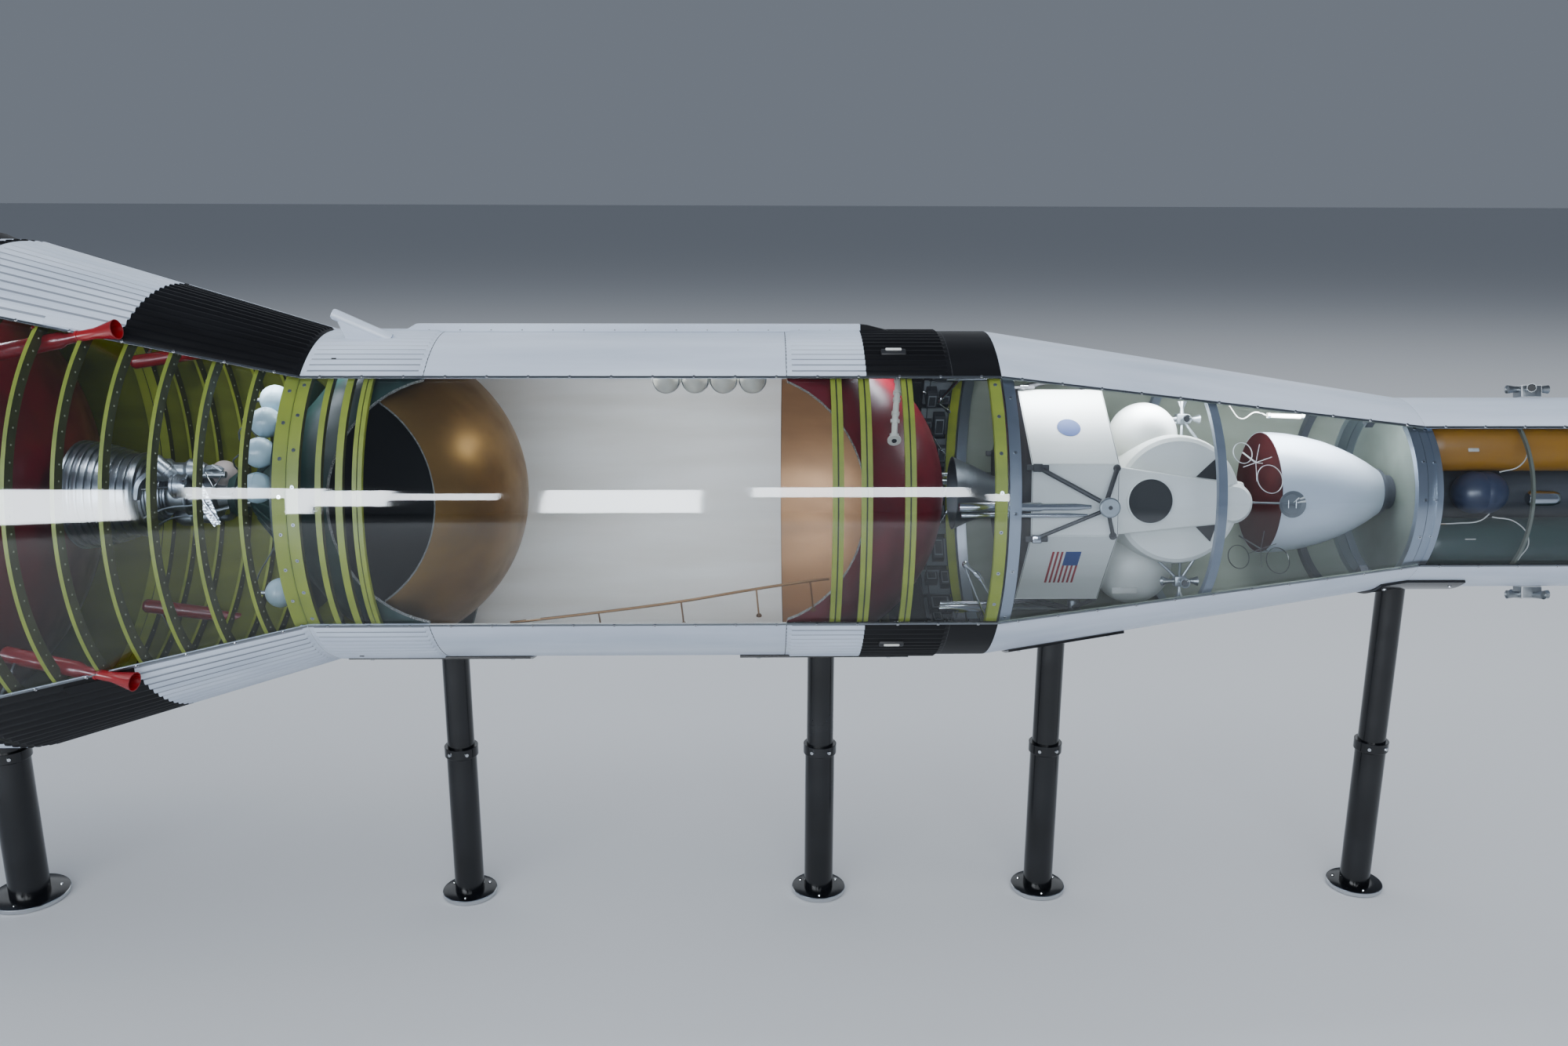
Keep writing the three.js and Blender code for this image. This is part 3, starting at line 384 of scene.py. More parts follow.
for station, width, depth, rivets in CHANNELS:
    bm = bmesh.new()
    a, b, wall = station - width / 2, station + width / 2, FLANGE_WALL
    outer_a, outer_b = [body_radius(s) - SKIN - FRAME_GAP for s in (a, b)]
    outline = [
        (a, outer_a),
        (b, outer_b),
        (b, outer_b - depth),
        (a, outer_b - depth),
        (a, outer_b - depth + wall),
        (b - wall, outer_b - depth + wall),
        (b - wall, outer_b - wall),
        (a, outer_a - wall),
    ]
    for face in lathe(bm, outline, steps=RING_STEPS):
        # The faces square to the axis, mostly the web's sides, get the darker primer as painted shade.
        if abs(face.normal.x) > 0.9:
            face.material_index = 1
    if rivets:
        for degrees in range(0, 3600, int(rivets * 10)):
            place = at(b, outer_b - depth * 0.55, degrees / 10)
            stud(bm, place, Vector((1, 0, 0)), RIVET_RADIUS, 0.5, 2, 6)
    into_piece(bm, f"ring_frame_{station:.0f}", [yellow_primer, shaded_primer, rivet_pale])

for station, width, groove in STRIPS:
    bm = bmesh.new()
    outer = body_radius(station) - SKIN - FRAME_GAP
    half, edge = width / 2, groove / 2
    outline = [
        (station - half, outer),
        (station - edge, outer),
        (station - edge, outer - 1.2),
        (station + edge, outer - 1.2),
        (station + edge, outer),
        (station + half, outer),
        (station + half, outer - 4),
        (station - half, outer - 4),
    ]
    for face in lathe(bm, outline, steps=RING_STEPS):
        # The groove floor and the strips' inner faces get the darker primer as painted shade.
        if polar(face.calc_center_median())[1] < outer - 1 and abs(face.normal.x) < 0.5:
            face.material_index = 1
    into_piece(bm, f"ring_frame_{station:.0f}", [yellow_primer, shaded_primer])

# The tank domes. They are spun from aluminium sheet, and a slanting flat cut opens those behind the
# window. The cut edges show the honeycomb between the two skins. Outside they are painted dark red
# or dark green. Inside they are lined, copper in the fuel tank and nearly black in the oxidizer tank.
red_enamel = sprayed("oxide_red_enamel", "#6A0C1A", "#520813", 0.3, 0, 0.4)
green_enamel = sprayed("dark_green_enamel", "#15352F", "#0F2723", 0.4, 0, 0.4)
bronze_skin = sprayed("bronzed_sheet", "#80602F", "#6A4E28", 0.38, 0.75)
copper_lining = sprayed("copper_lining", "#8F6A48", "#77563A", 0.42, 0.6)


def cut_honeycomb(name):
    """The sawn edge of honeycomb sandwich: pale metal cells 3 mm across with dark hollows."""
    finish, tree, shader, place = new_finish(name)
    scale = {"Vector": place, "Scale": 330}
    cells = add(tree, "TexVoronoi", scale, feature="DISTANCE_TO_EDGE")
    thin = {"Value": cells.outputs["Distance"], "From Max": 0.12, "To Min": 1, "To Max": 0}
    wall = add(tree, "MapRange", thin).outputs["Result"]
    colours = {"Fac": wall, "Color1": linear("#4A4A48"), "Color2": linear("#C9C8C2")}
    tone = add(tree, "MixRGB", colours)
    tree.links.new(tone.outputs["Color"], shader.inputs["Base Color"])
    shader.inputs["Roughness"].default_value = 0.5
    shader.inputs["Metallic"].default_value = 0.3
    return finish


honeycomb = cut_honeycomb("cut_honeycomb")
ARC_STEPS = 24


def arc(centre, radius, rise, low=0):
    """Points of an ellipse's arc, from an angle above its rim to its tip at 90 degrees."""
    turns = [math.radians(low + (90 - low) * i / ARC_STEPS) for i in range(ARC_STEPS)]
    points = [(centre + rise * math.sin(t), radius * math.cos(t)) for t in turns]
    return [*points, (centre + rise, 0)]


def slant(aft, aft_depth, fore, fore_depth):
    """The plane square to the window's middle that passes two depths at two stations."""
    point = at(aft, aft_depth, WINDOW_MIDDLE)
    along = at(fore, fore_depth, WINDOW_MIDDLE) - point
    across = at(0, 1, WINDOW_MIDDLE + 90) - at(0)
    normal = along.cross(across).normalized()
    out = at(0, 1, WINDOW_MIDDLE) - at(0)
    return point, normal if normal.dot(out) > 0 else -normal


def dome(name, outline, outside, inside, nodes=(), cut=None):
    """A dome of sandwich sheet, opened by a flat cut whose edges show the honeycomb."""
    wall = SKIN * INCH
    bm = bmesh.new()
    lathe(bm, outline, steps=96, shut=False)
    if cut:
        bmesh.ops.bisect_plane(
            bm,
            geom=bm.verts[:] + bm.edges[:] + bm.faces[:],
            plane_co=cut[0],
            plane_no=cut[1],
            clear_outer=True,
        )
    middle = at(outline[0][0])
    if sum(f.normal.dot(f.calc_center_median() - middle) for f in bm.faces) < 0:
        bmesh.ops.reverse_faces(bm, faces=bm.faces[:])
    outer = set(bm.faces)
    bmesh.ops.solidify(bm, geom=bm.faces[:], thickness=wall)
    for face in bm.faces:
        centre = face.calc_center_median()
        out = face.normal.dot((centre - middle).normalized())
        on_cut = cut and abs((centre - cut[0]).dot(cut[1])) < wall * 0.6
        if on_cut and abs(out) < 0.9 and face not in outer:
            face.material_index = 2
        else:
            face.material_index = 0 if out > 0 else 1
    return into_piece(bm, name, [outside, inside, honeycomb], nodes)


INSIDE_LARGE = 198 - SKIN - 0.2
INSIDE_THIRD = 130 - SKIN - 0.2
dome(
    "second_stage_red_dome",
    arc(2388, INSIDE_LARGE, 140),
    red_enamel,
    dark_lining,
    ["second_stage_forward_dome"],
)
dome(
    "third_stage_red_dome",
    arc(3101, INSIDE_THIRD, 127.5),
    red_enamel,
    copper_lining,
    ["third_stage_forward_dome"],
    cut=slant(3100.6, 91, 3161, 115),
)
dome(
    "third_stage_green_dome",
    arc(2835.8, INSIDE_THIRD, -127.5),
    green_enamel,
    dark_lining,
    ["third_stage_oxidizer_tank"],
    cut=slant(2836, 90, 2766, 108.6),
)
dome(
    "third_stage_bulkhead",
    arc(2768, 127.5 - SKIN, 127.5 - SKIN, 17),
    bronze_skin,
    dark_lining,
    cut=slant(2802, 94, 2848, 99.3),
)
dome(
    "second_stage_green_dome",
    arc(1847.5, INSIDE_LARGE, -140),
    green_enamel,
    dark_lining,
    ["second_stage_oxidizer_tank"],
    cut=slant(1848, 140, 1760, 172),
)
dome(
    "second_stage_bulkhead",
    arc(1810, INSIDE_LARGE - SKIN - 2, 130, 15),
    bronze_skin,
    dark_lining,
    cut=slant(1850, 145, 1900, 160),
)
for name, rim, rise in [
    ("fuel_tank_aft", 368, -119),
    ("fuel_tank_fore", 599, 119),
    ("oxidizer_tank_aft", 868, -119),
    ("oxidizer_tank_fore", 1398, 119),
]:
    lean = 60 if rise > 0 else -60
    dome(
        f"first_stage_{name}_dome",
        arc(rim, INSIDE_LARGE, rise),
        bronze_skin,
        dark_lining,
        cut=slant(rim, 140, rim + lean, 162),
    )

# The clear panels. Bent acrylic sheet 5 mm thick closes the window, one panel to a stretch of body,
# and shows everything behind it with bright streaks where the room shines in its curve.
def clear_acrylic(name):
    """Polished cast acrylic: clear, with a mirror's shine that grows at a slant."""
    finish = bpy.data.materials.new(name)
    finish.use_nodes = True
    tree = finish.node_tree
    tree.nodes.remove(tree.nodes["Principled BSDF"])
    through = add(tree, "BsdfTransparent", {"Color": linear("#F4F7FA")})
    shine = add(tree, "BsdfGlossy", {"Color": linear("#FFFFFF"), "Roughness": 0.04})
    slant_share = add(tree, "LayerWeight", {"Blend": 0.5})
    steep = add(tree, "Math", {0: slant_share.outputs["Facing"], 1: 5.0}, operation="POWER")
    share = add(tree, "MapRange", {"Value": steep.outputs[0], "To Min": 0.032, "To Max": 1})
    sides = {0: share.outputs["Result"], 1: through.outputs[0], 2: shine.outputs[0]}
    mix = add(tree, "MixShader", sides)
    tree.links.new(mix.outputs[0], tree.nodes["Material Output"].inputs["Surface"])
    return finish


acrylic = clear_acrylic("cast_acrylic")
COVERS = [
    ("cover_first_stage_aft", 116, 865),
    ("cover_first_stage_fore", 865, 1541),
    ("cover_second_stage", 1541, 2519),
    ("cover_interstage", 2519, 2747),
    ("cover_third_stage", 2747, 3258.6),
    ("cover_adapter", 3258.6, 3594.6),
    ("cover_service_module", 3594.6, 3749.8),
]
COVER_THICK = 2
COVER_GAP = 0.1  # degrees, between a clear panel and the skin
for node, start, end in COVERS:
    bm = bmesh.new()
    a, b = start + SEAM, end - SEAM
    outline = [
        (a, body_radius(a)),
        (b, body_radius(b)),
        (b, body_radius(b) - COVER_THICK),
        (a, body_radius(a) - COVER_THICK),
    ]
    lathe(bm, outline, 0, WINDOW_LOW + COVER_GAP, WINDOW_HIGH - COVER_GAP, 60)
    into_piece(bm, node + "_panel", [acrylic], [node])

# The third stage's engine. The bell is made of tubes and banded by hoops. A ring manifold, the
# chamber, two pumps and their ducts stand ahead of it. All are bare metal, and one duct is wrapped in
# crinkled foil.


def bare(name, code, roughness=0.3, streaks=900, uneven=0.12):
    """Bare machined or formed metal: fine lines round the axis 1 mm apart, and smeared shine."""
    finish, tree, shader, place = new_finish(name)
    drawn = add(tree, "Mapping", {"Vector": place, "Scale": (streaks, 6, 6)}).outputs[0]
    lines = add(tree, "TexNoise", {"Vector": drawn, "Scale": 1, "Detail": 2})
    smears = add(tree, "TexNoise", {"Vector": place, "Scale": 30, "Detail": 4})
    both = {0: lines.outputs["Fac"], 1: smears.outputs["Fac"]}
    mixed = add(tree, "Math", both, operation="ADD")
    spread = {"Value": mixed.outputs[0], "From Min": 0.6, "From Max": 1.4}
    spread.update({"To Min": roughness - uneven, "To Max": roughness + uneven})
    rough = add(tree, "MapRange", spread)
    rise = {"Height": lines.outputs["Fac"], "Strength": 0.08, "Distance": 0.0003}
    bump = add(tree, "Bump", rise)
    tree.links.new(rough.outputs["Result"], shader.inputs["Roughness"])
    tree.links.new(bump.outputs["Normal"], shader.inputs["Normal"])
    shader.inputs["Base Color"].default_value = linear(code)
    shader.inputs["Metallic"].default_value = 1
    return finish


def crinkled(name, code, crease, height):
    """Thin metal foil wrapped by hand: sharp creases a few millimetres apart that all glint."""
    finish, tree, shader, place = new_finish(name)
    folds = add(tree, "TexVoronoi", {"Vector": place, "Scale": 1000 / crease}, feature="F1")
    rise = {"Height": folds.outputs["Distance"], "Strength": 0.7, "Distance": height / 1000}
    bump = add(tree, "Bump", rise)
    tree.links.new(bump.outputs["Normal"], shader.inputs["Normal"])
    shader.inputs["Base Color"].default_value = linear(code)
    shader.inputs["Metallic"].default_value = 1
    shader.inputs["Roughness"].default_value = 0.22
    return finish


bell_steel = bare("formed_steel", "#858A90", 0.36)
pump_steel = bare("cast_aluminium", "#8F9498", 0.42, 300)
chrome = bare("chromed_steel", "#C9CCD0", 0.16, 900, 0.05)
foil = crinkled("silver_foil", "#C4C8CC", 7, 2.5)
dome_pink = sprayed("dull_gimbal_dome", "#A99A93", "#8E817B", 0.5)


def rod(bm, start, end, radius, finish, sides=12, tip=None):
    """A round bar between two points, tapered if it has a tip of another radius."""
    way = end - start
    turn = way.to_track_quat("Z", "Y").to_matrix().to_4x4()
    made = bmesh.ops.create_cone(
        bm,
        cap_ends=True,
        segments=sides,
        radius1=radius * INCH,
        radius2=(radius if tip is None else tip) * INCH,
        depth=way.length,
        matrix=Matrix.Translation((start + end) / 2) @ turn,
    )
    for face in {face for vert in made["verts"] for face in vert.link_faces}:
        face.material_index = finish


def ball(bm, centre, radius, finish, sides):
    """A ball about a point."""
    made = bmesh.ops.create_uvsphere(
        bm,
        u_segments=sides,
        v_segments=sides // 2,
        radius=radius * INCH,
        matrix=Matrix.Translation(centre),
    )
    for face in {face for vert in made["verts"] for face in vert.link_faces}:
        face.material_index = finish


def block(bm, centre, size, finish, turn, bevel=0.0):
    """A box of a size along its own three axes, turned and set at a point. A mirrored turn leaves it
    inside out, so its normals are recalculated."""
    placed = Matrix.Translation(centre) @ turn.to_4x4()
    sized = Matrix.Diagonal((*[length * INCH for length in size], 1))
    made = bmesh.ops.create_cube(bm, size=1, matrix=placed @ sized)
    faces = list({face for vert in made["verts"] for face in vert.link_faces})
    bmesh.ops.recalc_face_normals(bm, faces=faces)
    for face in faces:
        face.material_index = finish
    if bevel:
        bmesh.ops.bevel(
            bm,
            geom=list({edge for face in faces for edge in face.edges}),
            offset=bevel * INCH,
            affect="EDGES",
            segments=2,
            profile=0.5,
            material=-1,
        )


def spun(bm, outline, base, way, finish, steps):
    """Turns an outline of (distance, radius) about the line that leaves a point one way. The points
    of a pole spread a little on a slanting line, so they are merged from farther off."""
    turn = way.to_track_quat("Z", "Y").to_matrix().to_4x4()
    place = Matrix.Translation(base) @ turn
    row = [place @ Vector((r * INCH, 0, d * INCH)) for d, r in outline]
    off_axis = bool(outline[0][1] or outline[-1][1])
    return spin_row(bm, row, base, way, finish, steps, 360, off_axis, 10 * TOUCHING)


def pipe(bm, points, radius, finish, sides=10, bend=True):
    """A bent tube through points, with round bends or sharp ones, closed at its ends."""
    curve = bpy.data.curves.new("pipe", "CURVE")
    curve.dimensions = "3D"
    spline = curve.splines.new("BEZIER")
    spline.bezier_points.add(len(points) - 1)
    for spot, point in zip(spline.bezier_points, points):
        spot.co = point
        spot.handle_left_type = spot.handle_right_type = "AUTO" if bend else "VECTOR"
    curve.resolution_u = 6 if bend else 1
    curve.bevel_depth = radius * INCH
    curve.bevel_resolution = max(sides // 4 - 1, 0)
    curve.use_fill_caps = True
    maker = bpy.data.objects.new("pipe", curve)
    mesh = bpy.data.meshes.new_from_object(maker)
    first = len(bm.faces)
    bm.from_mesh(mesh)
    bm.faces.ensure_lookup_table()
    bmesh.ops.remove_doubles(bm, verts=points_of(bm.faces[first:]), dist=TOUCHING)
    bm.faces.ensure_lookup_table()
    for face in bm.faces[first:]:
        face.material_index = finish
    bpy.data.objects.remove(maker)
    bpy.data.meshes.remove(mesh)
    bpy.data.curves.remove(curve)


AHEAD = Vector((1, 0, 0))
BELL = [(0, 40), (10, 38.6), (20, 36.6), (30, 33.6), (40, 29.5), (50, 24), (58, 17.5), (64, 11)]
BELL_WALL = 1
HOOP_RISE = 1.4
CHAMBER = [(62, 0), (62, 11), (68, 12), (74, 13.5), (92, 13.5), (95, 17), (101, 17), (103, 12)]
CHAMBER += [(112, 10), (128, 9), (128, 0)]


def upper_engine(bm, exit_station, offset=0, turn=0, scale=1.0, fine=True):
    """An engine: bell, chamber, ring manifolds, two pumps and their pipes. Finishes 0 and 1 are
    formed steel and cast metal. fine adds the hoops round the bell."""
    centre = (offset, turn)

    def beside(distance, radius, degrees):
        """A point by its distance ahead of the bell's exit, and its place round the bell's line."""
        middle = at(exit_station + distance * scale, offset, turn)
        return middle + (at(0, radius * scale, degrees) - at(0))

    def turned_part(outline, finish, steps):
        line = [(exit_station + d * scale, r * scale) for d, r in outline]
        lathe(bm, line, finish, steps=steps, centre=centre)

    inside = [(d, r - BELL_WALL) for d, r in reversed(BELL)]
    outside = [] if fine else BELL
    if fine:
        for (d0, r0), (d1, r1) in zip(BELL, BELL[1:]):
            for share in (0, 0.5):
                d, r = d0 + (d1 - d0) * share, r0 + (r1 - r0) * share
                outside += [(d, r + HOOP_RISE), (d + 2, r + HOOP_RISE), (d + 2.3, r), (d + 3.7, r)]
        outside.append(BELL[-1])
    turned_part(outside + inside, 0, 40 if fine else 24)
    turned_part(CHAMBER, 1, 24)
    round_turns = [math.tau * i / 10 for i in range(10)]
    for distance, radius, thick in [(0.8, 40, 1.4), (45.5, 28.6, 3.6), (80, 16, 1.6)]:
        ring = [(distance + thick * math.cos(t), radius + thick * math.sin(t)) for t in round_turns]
        turned_part(ring, 0, 32)
    for degrees, aft, fore, radius in [(60, 58, 100, 9), (235, 60, 96, 8)]:
        pump = [(0, 0), (0, 5), (5, radius), (14, radius), (17, 6), (26, 6), (30, radius)]
        pump += [(36, radius - 1), (fore - aft, 5), (fore - aft, 0)]
        spun(bm, pump, beside(aft, 25, degrees), AHEAD, 1, 20)
        aft_duct = [(aft + 8, 25, degrees), (aft - 4, 29, degrees - 25), (49, 26, degrees - 55)]
        fore_duct = [(fore - 8, 25, degrees), (fore + 6, 24, degrees + 6)]
        fore_duct.append((fore + 12, 14, degrees + 12))
        pipe(bm, [beside(*place) for place in aft_duct], 3 * scale, 0)
        pipe(bm, [beside(*place) for place in fore_duct], 2.6 * scale, 1)
    for degrees in [20, 100, 140, 190, 290, 330]:
        line = [(52, 26, degrees), (66, 19, degrees + 8), (88, 17, degrees + 14)]
        line.append((98, 15, degrees + 20))
        pipe(bm, [beside(*place) for place in line], 0.9 * scale, 0, 8)
    for degrees in [80, 200, 320]:
        rod(bm, beside(101, 16, degrees), beside(127, 8, degrees + 6), 1.4 * scale, 0)


bm = bmesh.new()
upper_engine(bm, 2542.6, scale=1.05)
PUMP = [(0, 0), (0, 4.6), (1.2, 5.8), (13, 5.8), (13.4, 5.3), (15, 5.3), (15.4, 5.8), (22, 4.4)]
PUMP += [(24, 3), (24, 0)]
pump, gimbal = at(2608, 38, 59), at(2626, 24, 40)
spun(bm, PUMP, pump, (gimbal - pump).normalized(), 1, 32)
DRUM = [(0, 0), (0, 9), (1.4, 10.4), (3.4, 10.4), (3.8, 9.8), (13, 9.8), (14, 8.8), (14, 0)]
spun(bm, DRUM, at(2620.5, 22.5, 31), AHEAD, 0, 40)
BOSS = [(-1, 0), (-1, 2.6), (0.8, 2.6), (0.8, 1), (0.2, 1), (0.2, 0)]
boss = at(2633.2, 32.6, 31)
outwards = (boss - at(2633.2)).normalized()
spun(bm, BOSS, boss, outwards, 4, 24)
stud(bm, boss + outwards * 0.25 * INCH, outwards, 0.95, 0.2, 3, 12)
for start, end, thick in [
    ((2636, 24.6, 52), (2661, 24.5, 52), 2.7),
    ((2634, 27, 12), (2668, 26, 8), 1.6),
    ((2640, 30, 66), (2652, 22, 80), 0.9),
    ((2638, 33, 70), (2647, 26, 62), 0.9),
    ((2648, 31, 46), (2655, 29, 22), 0.6),
    ((2655, 29, 22), (2660, 28, 44), 0.5),
    ((2652, 32, 58), (2660, 30, 50), 1.1),
]:
    rod(bm, at(*start), at(*end), thick, 1 if thick > 1 else 4, 16)
ball(bm, at(2654.5, 17.5, 84), 10.4, 5, 40)
lathe(bm, [(2661, 0), (2661, 17.4), (2667, 18.6), (2667, 0)], 6, steps=48)
# The wrapped duct, a flat strip: pairs of points on its two edges.
STRIP = [((2642, 37.5, 31), (2649, 37.5, 29)), ((2645.5, 35.5, 2), (2656, 35.5, 4))]
STRIP += [((2657.5, 42, -24.5), (2662.3, 40, -20))]
STRIP_THICK = 1.4 * INCH
for (a, b), (c, d) in zip(STRIP, STRIP[1:]):
    corners = [at(*place) for place in (a, b, d, c)]
    inwards = (at(polar(corners[0])[0]) - corners[0]).normalized() * STRIP_THICK
    front = [bm.verts.new(corner) for corner in corners]
    back = [bm.verts.new(corner + inwards) for corner in corners]
    faces = [bm.faces.new(front), bm.faces.new(back[::-1])]
    for i in range(4):
        j = (i + 1) % 4
        faces.append(bm.faces.new((front[j], front[i], back[i], back[j])))
    bmesh.ops.recalc_face_normals(bm, faces=faces)
    for face in faces:
        face.material_index = 2
pipe(bm, [at(2644, 39, 30), at(2651, 36.5, 3), at(2662, 41, -22)], 0.7, 4, 8, False)
into_piece(
    bm,
    "third_stage_engine_parts",
    [bell_steel, pump_steel, foil, dark_lining, chrome, dome_pink, green_enamel],
    ["third_stage_engine"],
)

# The thrust cone, dark green ribbed sheet that carries the engine under the aft dome, with the gas
# bottles strapped round its edge. The bottles are welded balls in pale blue enamel.
blue_enamel = sprayed("pale_blue_enamel", "#C2DBE6", "#A9C6D4", 0.28)
THRUST_CONE = [(2678, 0), (2678, 16), (2722, 66), (2722, 92), (2724, 92), (2724, 68), (2744.6, 88)]
THRUST_CONE += [(2744.6, 86), (2682.5, 13), (2682.5, 0)]
BOTTLE_RADIUS = 11.4
WELD = [(-0.4, 11.3), (-0.4, 11.6), (0.4, 11.6), (0.4, 11.3)]
bm = bmesh.new()
lathe(bm, THRUST_CONE, 0, steps=96)
for degrees in range(0, 360, 15):
    rod(bm, at(2683, 22, degrees), at(2722, 66.4, degrees), 1.1, 0, 6)
for degrees in [68.5, 51, 33.5, 16, -48, 150, 168, 186]:
    centre = at(2711.5, 87, degrees)
    ball(bm, centre, BOTTLE_RADIUS, 1, 48)
    spun(bm, WELD, centre, AHEAD, 1, 48)
    rod(bm, at(2702, 87, degrees), at(2697, 87, degrees), 1.6, 2)
    line = [at(2698, 87, degrees), at(2690, 80, degrees - 3), at(2697, 45, degrees - 8)]
    pipe(bm, line, 0.6, 2, 8)
into_piece(
    bm,
    "third_stage_thrust_frame",
    [green_enamel, blue_enamel, bell_steel],
    ["third_stage_thrust_cone"],
)

# The second stage's five engines, in the same way but plainer, on a green thrust cone.
bm = bmesh.new()
for offset, turn in [(0, 0), (105, 45), (105, 135), (105, 225), (105, 315)]:
    upper_engine(bm, 1560, offset, turn, 1, False)
frame_line = [(1687, 0), (1687, 127), (1767, 187.4), (1767, 184.4), (1691, 122), (1691, 0)]
lathe(bm, frame_line, 3, steps=96)
for degrees in range(0, 360, 10):
    rod(bm, at(1689, 126, degrees), at(1764, 184, degrees), 1.6, 3, 6)
into_piece(
    bm,
    "second_stage_engine_parts",
    [bell_steel, pump_steel, foil, green_enamel],
    ["second_stage_engines"],
)

# The four braking motors, steel tubes in red enamel. Each leans outwards from the wall and leaves
# through the skin, with its nozzle forward, and is held by two struts. A small plate lies on the skin
# at each side of a nozzle.
motor_red = sprayed("signal_red_enamel", "#8E0E18", "#6A0A12", 0.22)
MOTOR = [(0, 0), (0, 4), (2.5, 6), (60, 6), (63, 5.2), (66, 3.9), (74, 3.9), (74.3, 4.5)]
MOTOR += [(76, 4.5), (76.3, 3.9), (88, 3.9), (91, 4.4), (104.8, 7.1), (104.8, 6.5)]
MOTOR += [(92, 3.6), (89, 0)]
plates = []
bm = bmesh.new()
for degrees in [53.5, 143.5, 233.5, 323.5]:
    aft, fore = at(2532, 151.8, degrees), at(2634, 176.3, degrees)
    way = (fore - aft).normalized()
    spun(bm, MOTOR, aft, way, 0, 32)
    stud(bm, aft + way * 91 * INCH, way, 3.4, 0.3, 2, 24)
    for side in (-1, 1):
        plate = []
        for station in (2584, 2625):
            for turn in (0.7, 3.4):
                radius = body_radius(station)
                place = degrees + side * turn
                plate += [(station, radius + 0.1, place), (station, radius + 2, place)]
        plates.append(plate)
    for station in (2544, 2577):
        near = at(station, 151.8 + (station - 2532) * 0.24, degrees)
        rod(bm, near, at(station, body_radius(station) - SKIN - 0.2, degrees), 1.3, 1)
into_piece(bm, "braking_motors", [motor_red, pump_steel, black_enamel])

# Inside the third stage's fuel tank: four gas bottles hung from the roof, each held by two straps,
# and a long bronze pipe on four stays. They are welded metal, painted cream and bronze.
cream_enamel = sprayed("cream_enamel", "#E3DFD2", "#CFCABB", 0.35)
strap_grey = bare("strap_steel", "#7E8285", 0.4)
bronze_pipe = bare("bronzed_tube", "#6E5238", 0.35)
STRAP = [(-0.5, 10.9), (-0.5, 11.3), (0.5, 11.3), (0.5, 10.9)]
TANK_WALL = 127.4
STAYS = [(2960, 118, -36), (3022, 116, -31), (3078, 112, -26.5), (3118, 109.5, -23.6)]
LONG_PIPE = [(2893, 120, -41), *STAYS, (3132, 108.5, -23)]
bm = bmesh.new()
for station in (3010, 3032, 3053.5, 3075.6):
    centre = at(station, 105, 69)
    ball(bm, centre, 11, 0, 32)
    for lean in (-0.45, 0.45):
        spun(bm, STRAP, centre, Vector((lean, 0.9, 0)).normalized(), 1, 32)
    rod(bm, at(station, 113, 69), at(station, TANK_WALL, 69), 1.6, 1)
pipe(bm, [at(*place) for place in LONG_PIPE], 1.1, 2, 12)
for station, radius, degrees in STAYS:
    foot = at(station + 2, TANK_WALL, degrees - 6)
    rod(bm, at(station, radius, degrees), foot, 0.7, 2, 8)
    stud(bm, foot, (at(station) - foot).normalized(), 2.2, 1.2, 2, 12)
into_piece(
    bm,
    "third_stage_tank_fittings",
    [cream_enamel, strap_grey, bronze_pipe],
)

# Inside the ring unit and its skirt: electronic boxes on grey cold plates round the wall, cable trays,
# bright struts on brackets, and a cream pipe with couplings that ends in an open flange.
plate_grey = sprayed("grey_plate_enamel", "#6F7478", "#5A5F63", 0.45)
box_black = sprayed("crackle_black", "#1B1C20", "#28292D", 0.55)
label_white = sprayed("blank_label", "#C9C7C0", "#B5B3AC", 0.5)


def wall_turn(degrees):
    """The turn of a box that stands on the wall at an angle."""
    return Matrix.Rotation(-math.radians(degrees), 3, "X")


# The boxes on a cold plate, in four kinds. Columns: station, length, depth and height.
BOX_KINDS = [
    [(3233, 11, 9, 9), (3245, 8, 7, 16)],
    [(3238, 20, 6, 19)],
    [(3232, 9, 11, 16), (3244, 9, 8, 8)],
    [(3231, 8, 7, 7), (3241, 10, 10, 20)],
]
PLATE_PITCH = 14
bm = bmesh.new()
for degrees in range(78, 322, PLATE_PITCH):
    inward = at(0) - at(0, 1, degrees)
    turn = wall_turn(degrees)
    block(bm, at(3238, 125.6, degrees), (25, 2, 26), 0, turn, 0.3)
    for station, wide, deep, tall in BOX_KINDS[degrees // PLATE_PITCH % 4]:
        block(bm, at(station, 124.6 - deep / 2, degrees), (wide, deep, tall), 1, turn, 0.5)
        face = at(station, 124.4 - deep, degrees)
        block(bm, face, (wide * 0.75, 0.5, tall * 0.75), 0, turn, 0.1)
        block(bm, at(station, 124 - deep, degrees), (wide * 0.6, 0.4, tall * 0.6), 1, turn)
    for side in (-5, 5):
        stud(bm, at(3251, 127.4, degrees + side), inward, 1.2, 2.4, 2, 8)
for radius, a in [(119, 3229), (117, 3248)]:
    b, inner = a + 0.8, radius - 0.8
    lathe(bm, [(a, radius), (b, radius), (b, inner), (a, inner)], 1, 70, 325, 80)
for start, end, thick in [
    ((3238, 117, 150), (3262, 120, 128), 1.7),
    ((3223, 116, 143), (3250, 119, 156), 0.9),
    ((3226, 118, 160), (3248, 116, 176), 0.8),
    ((3230, 113, -14), (3243, 114, -20), 1.3),
    ((3243, 114, -20), (3256, 120, -31), 1.0),
    ((3230, 113, -14), (3250, 119, -38), 0.8),
    ((3226, 118, 205), (3250, 112, 190), 0.9),
    ((3226, 116, 220), (3252, 118, 200), 0.8),
]:
    a, b = at(*start), at(*end)
    way = (b - a).normalized()
    rod(bm, a, b, thick, 3)
    knuckle = [(0, 0), (0, thick * 0.6), (1, thick * 1.7), (4, thick * 1.7), (6, thick), (6, 0)]
    for foot, out in ((a, way), (b, -way)):
        spun(bm, knuckle, foot, out, 3, 14)
stretch = [at(3184, 121, 58), at(3182, 118, 50), at(3180, 114, 42), at(3179, 109, 34)]
pipe(bm, stretch, 2.3, 4, 14)
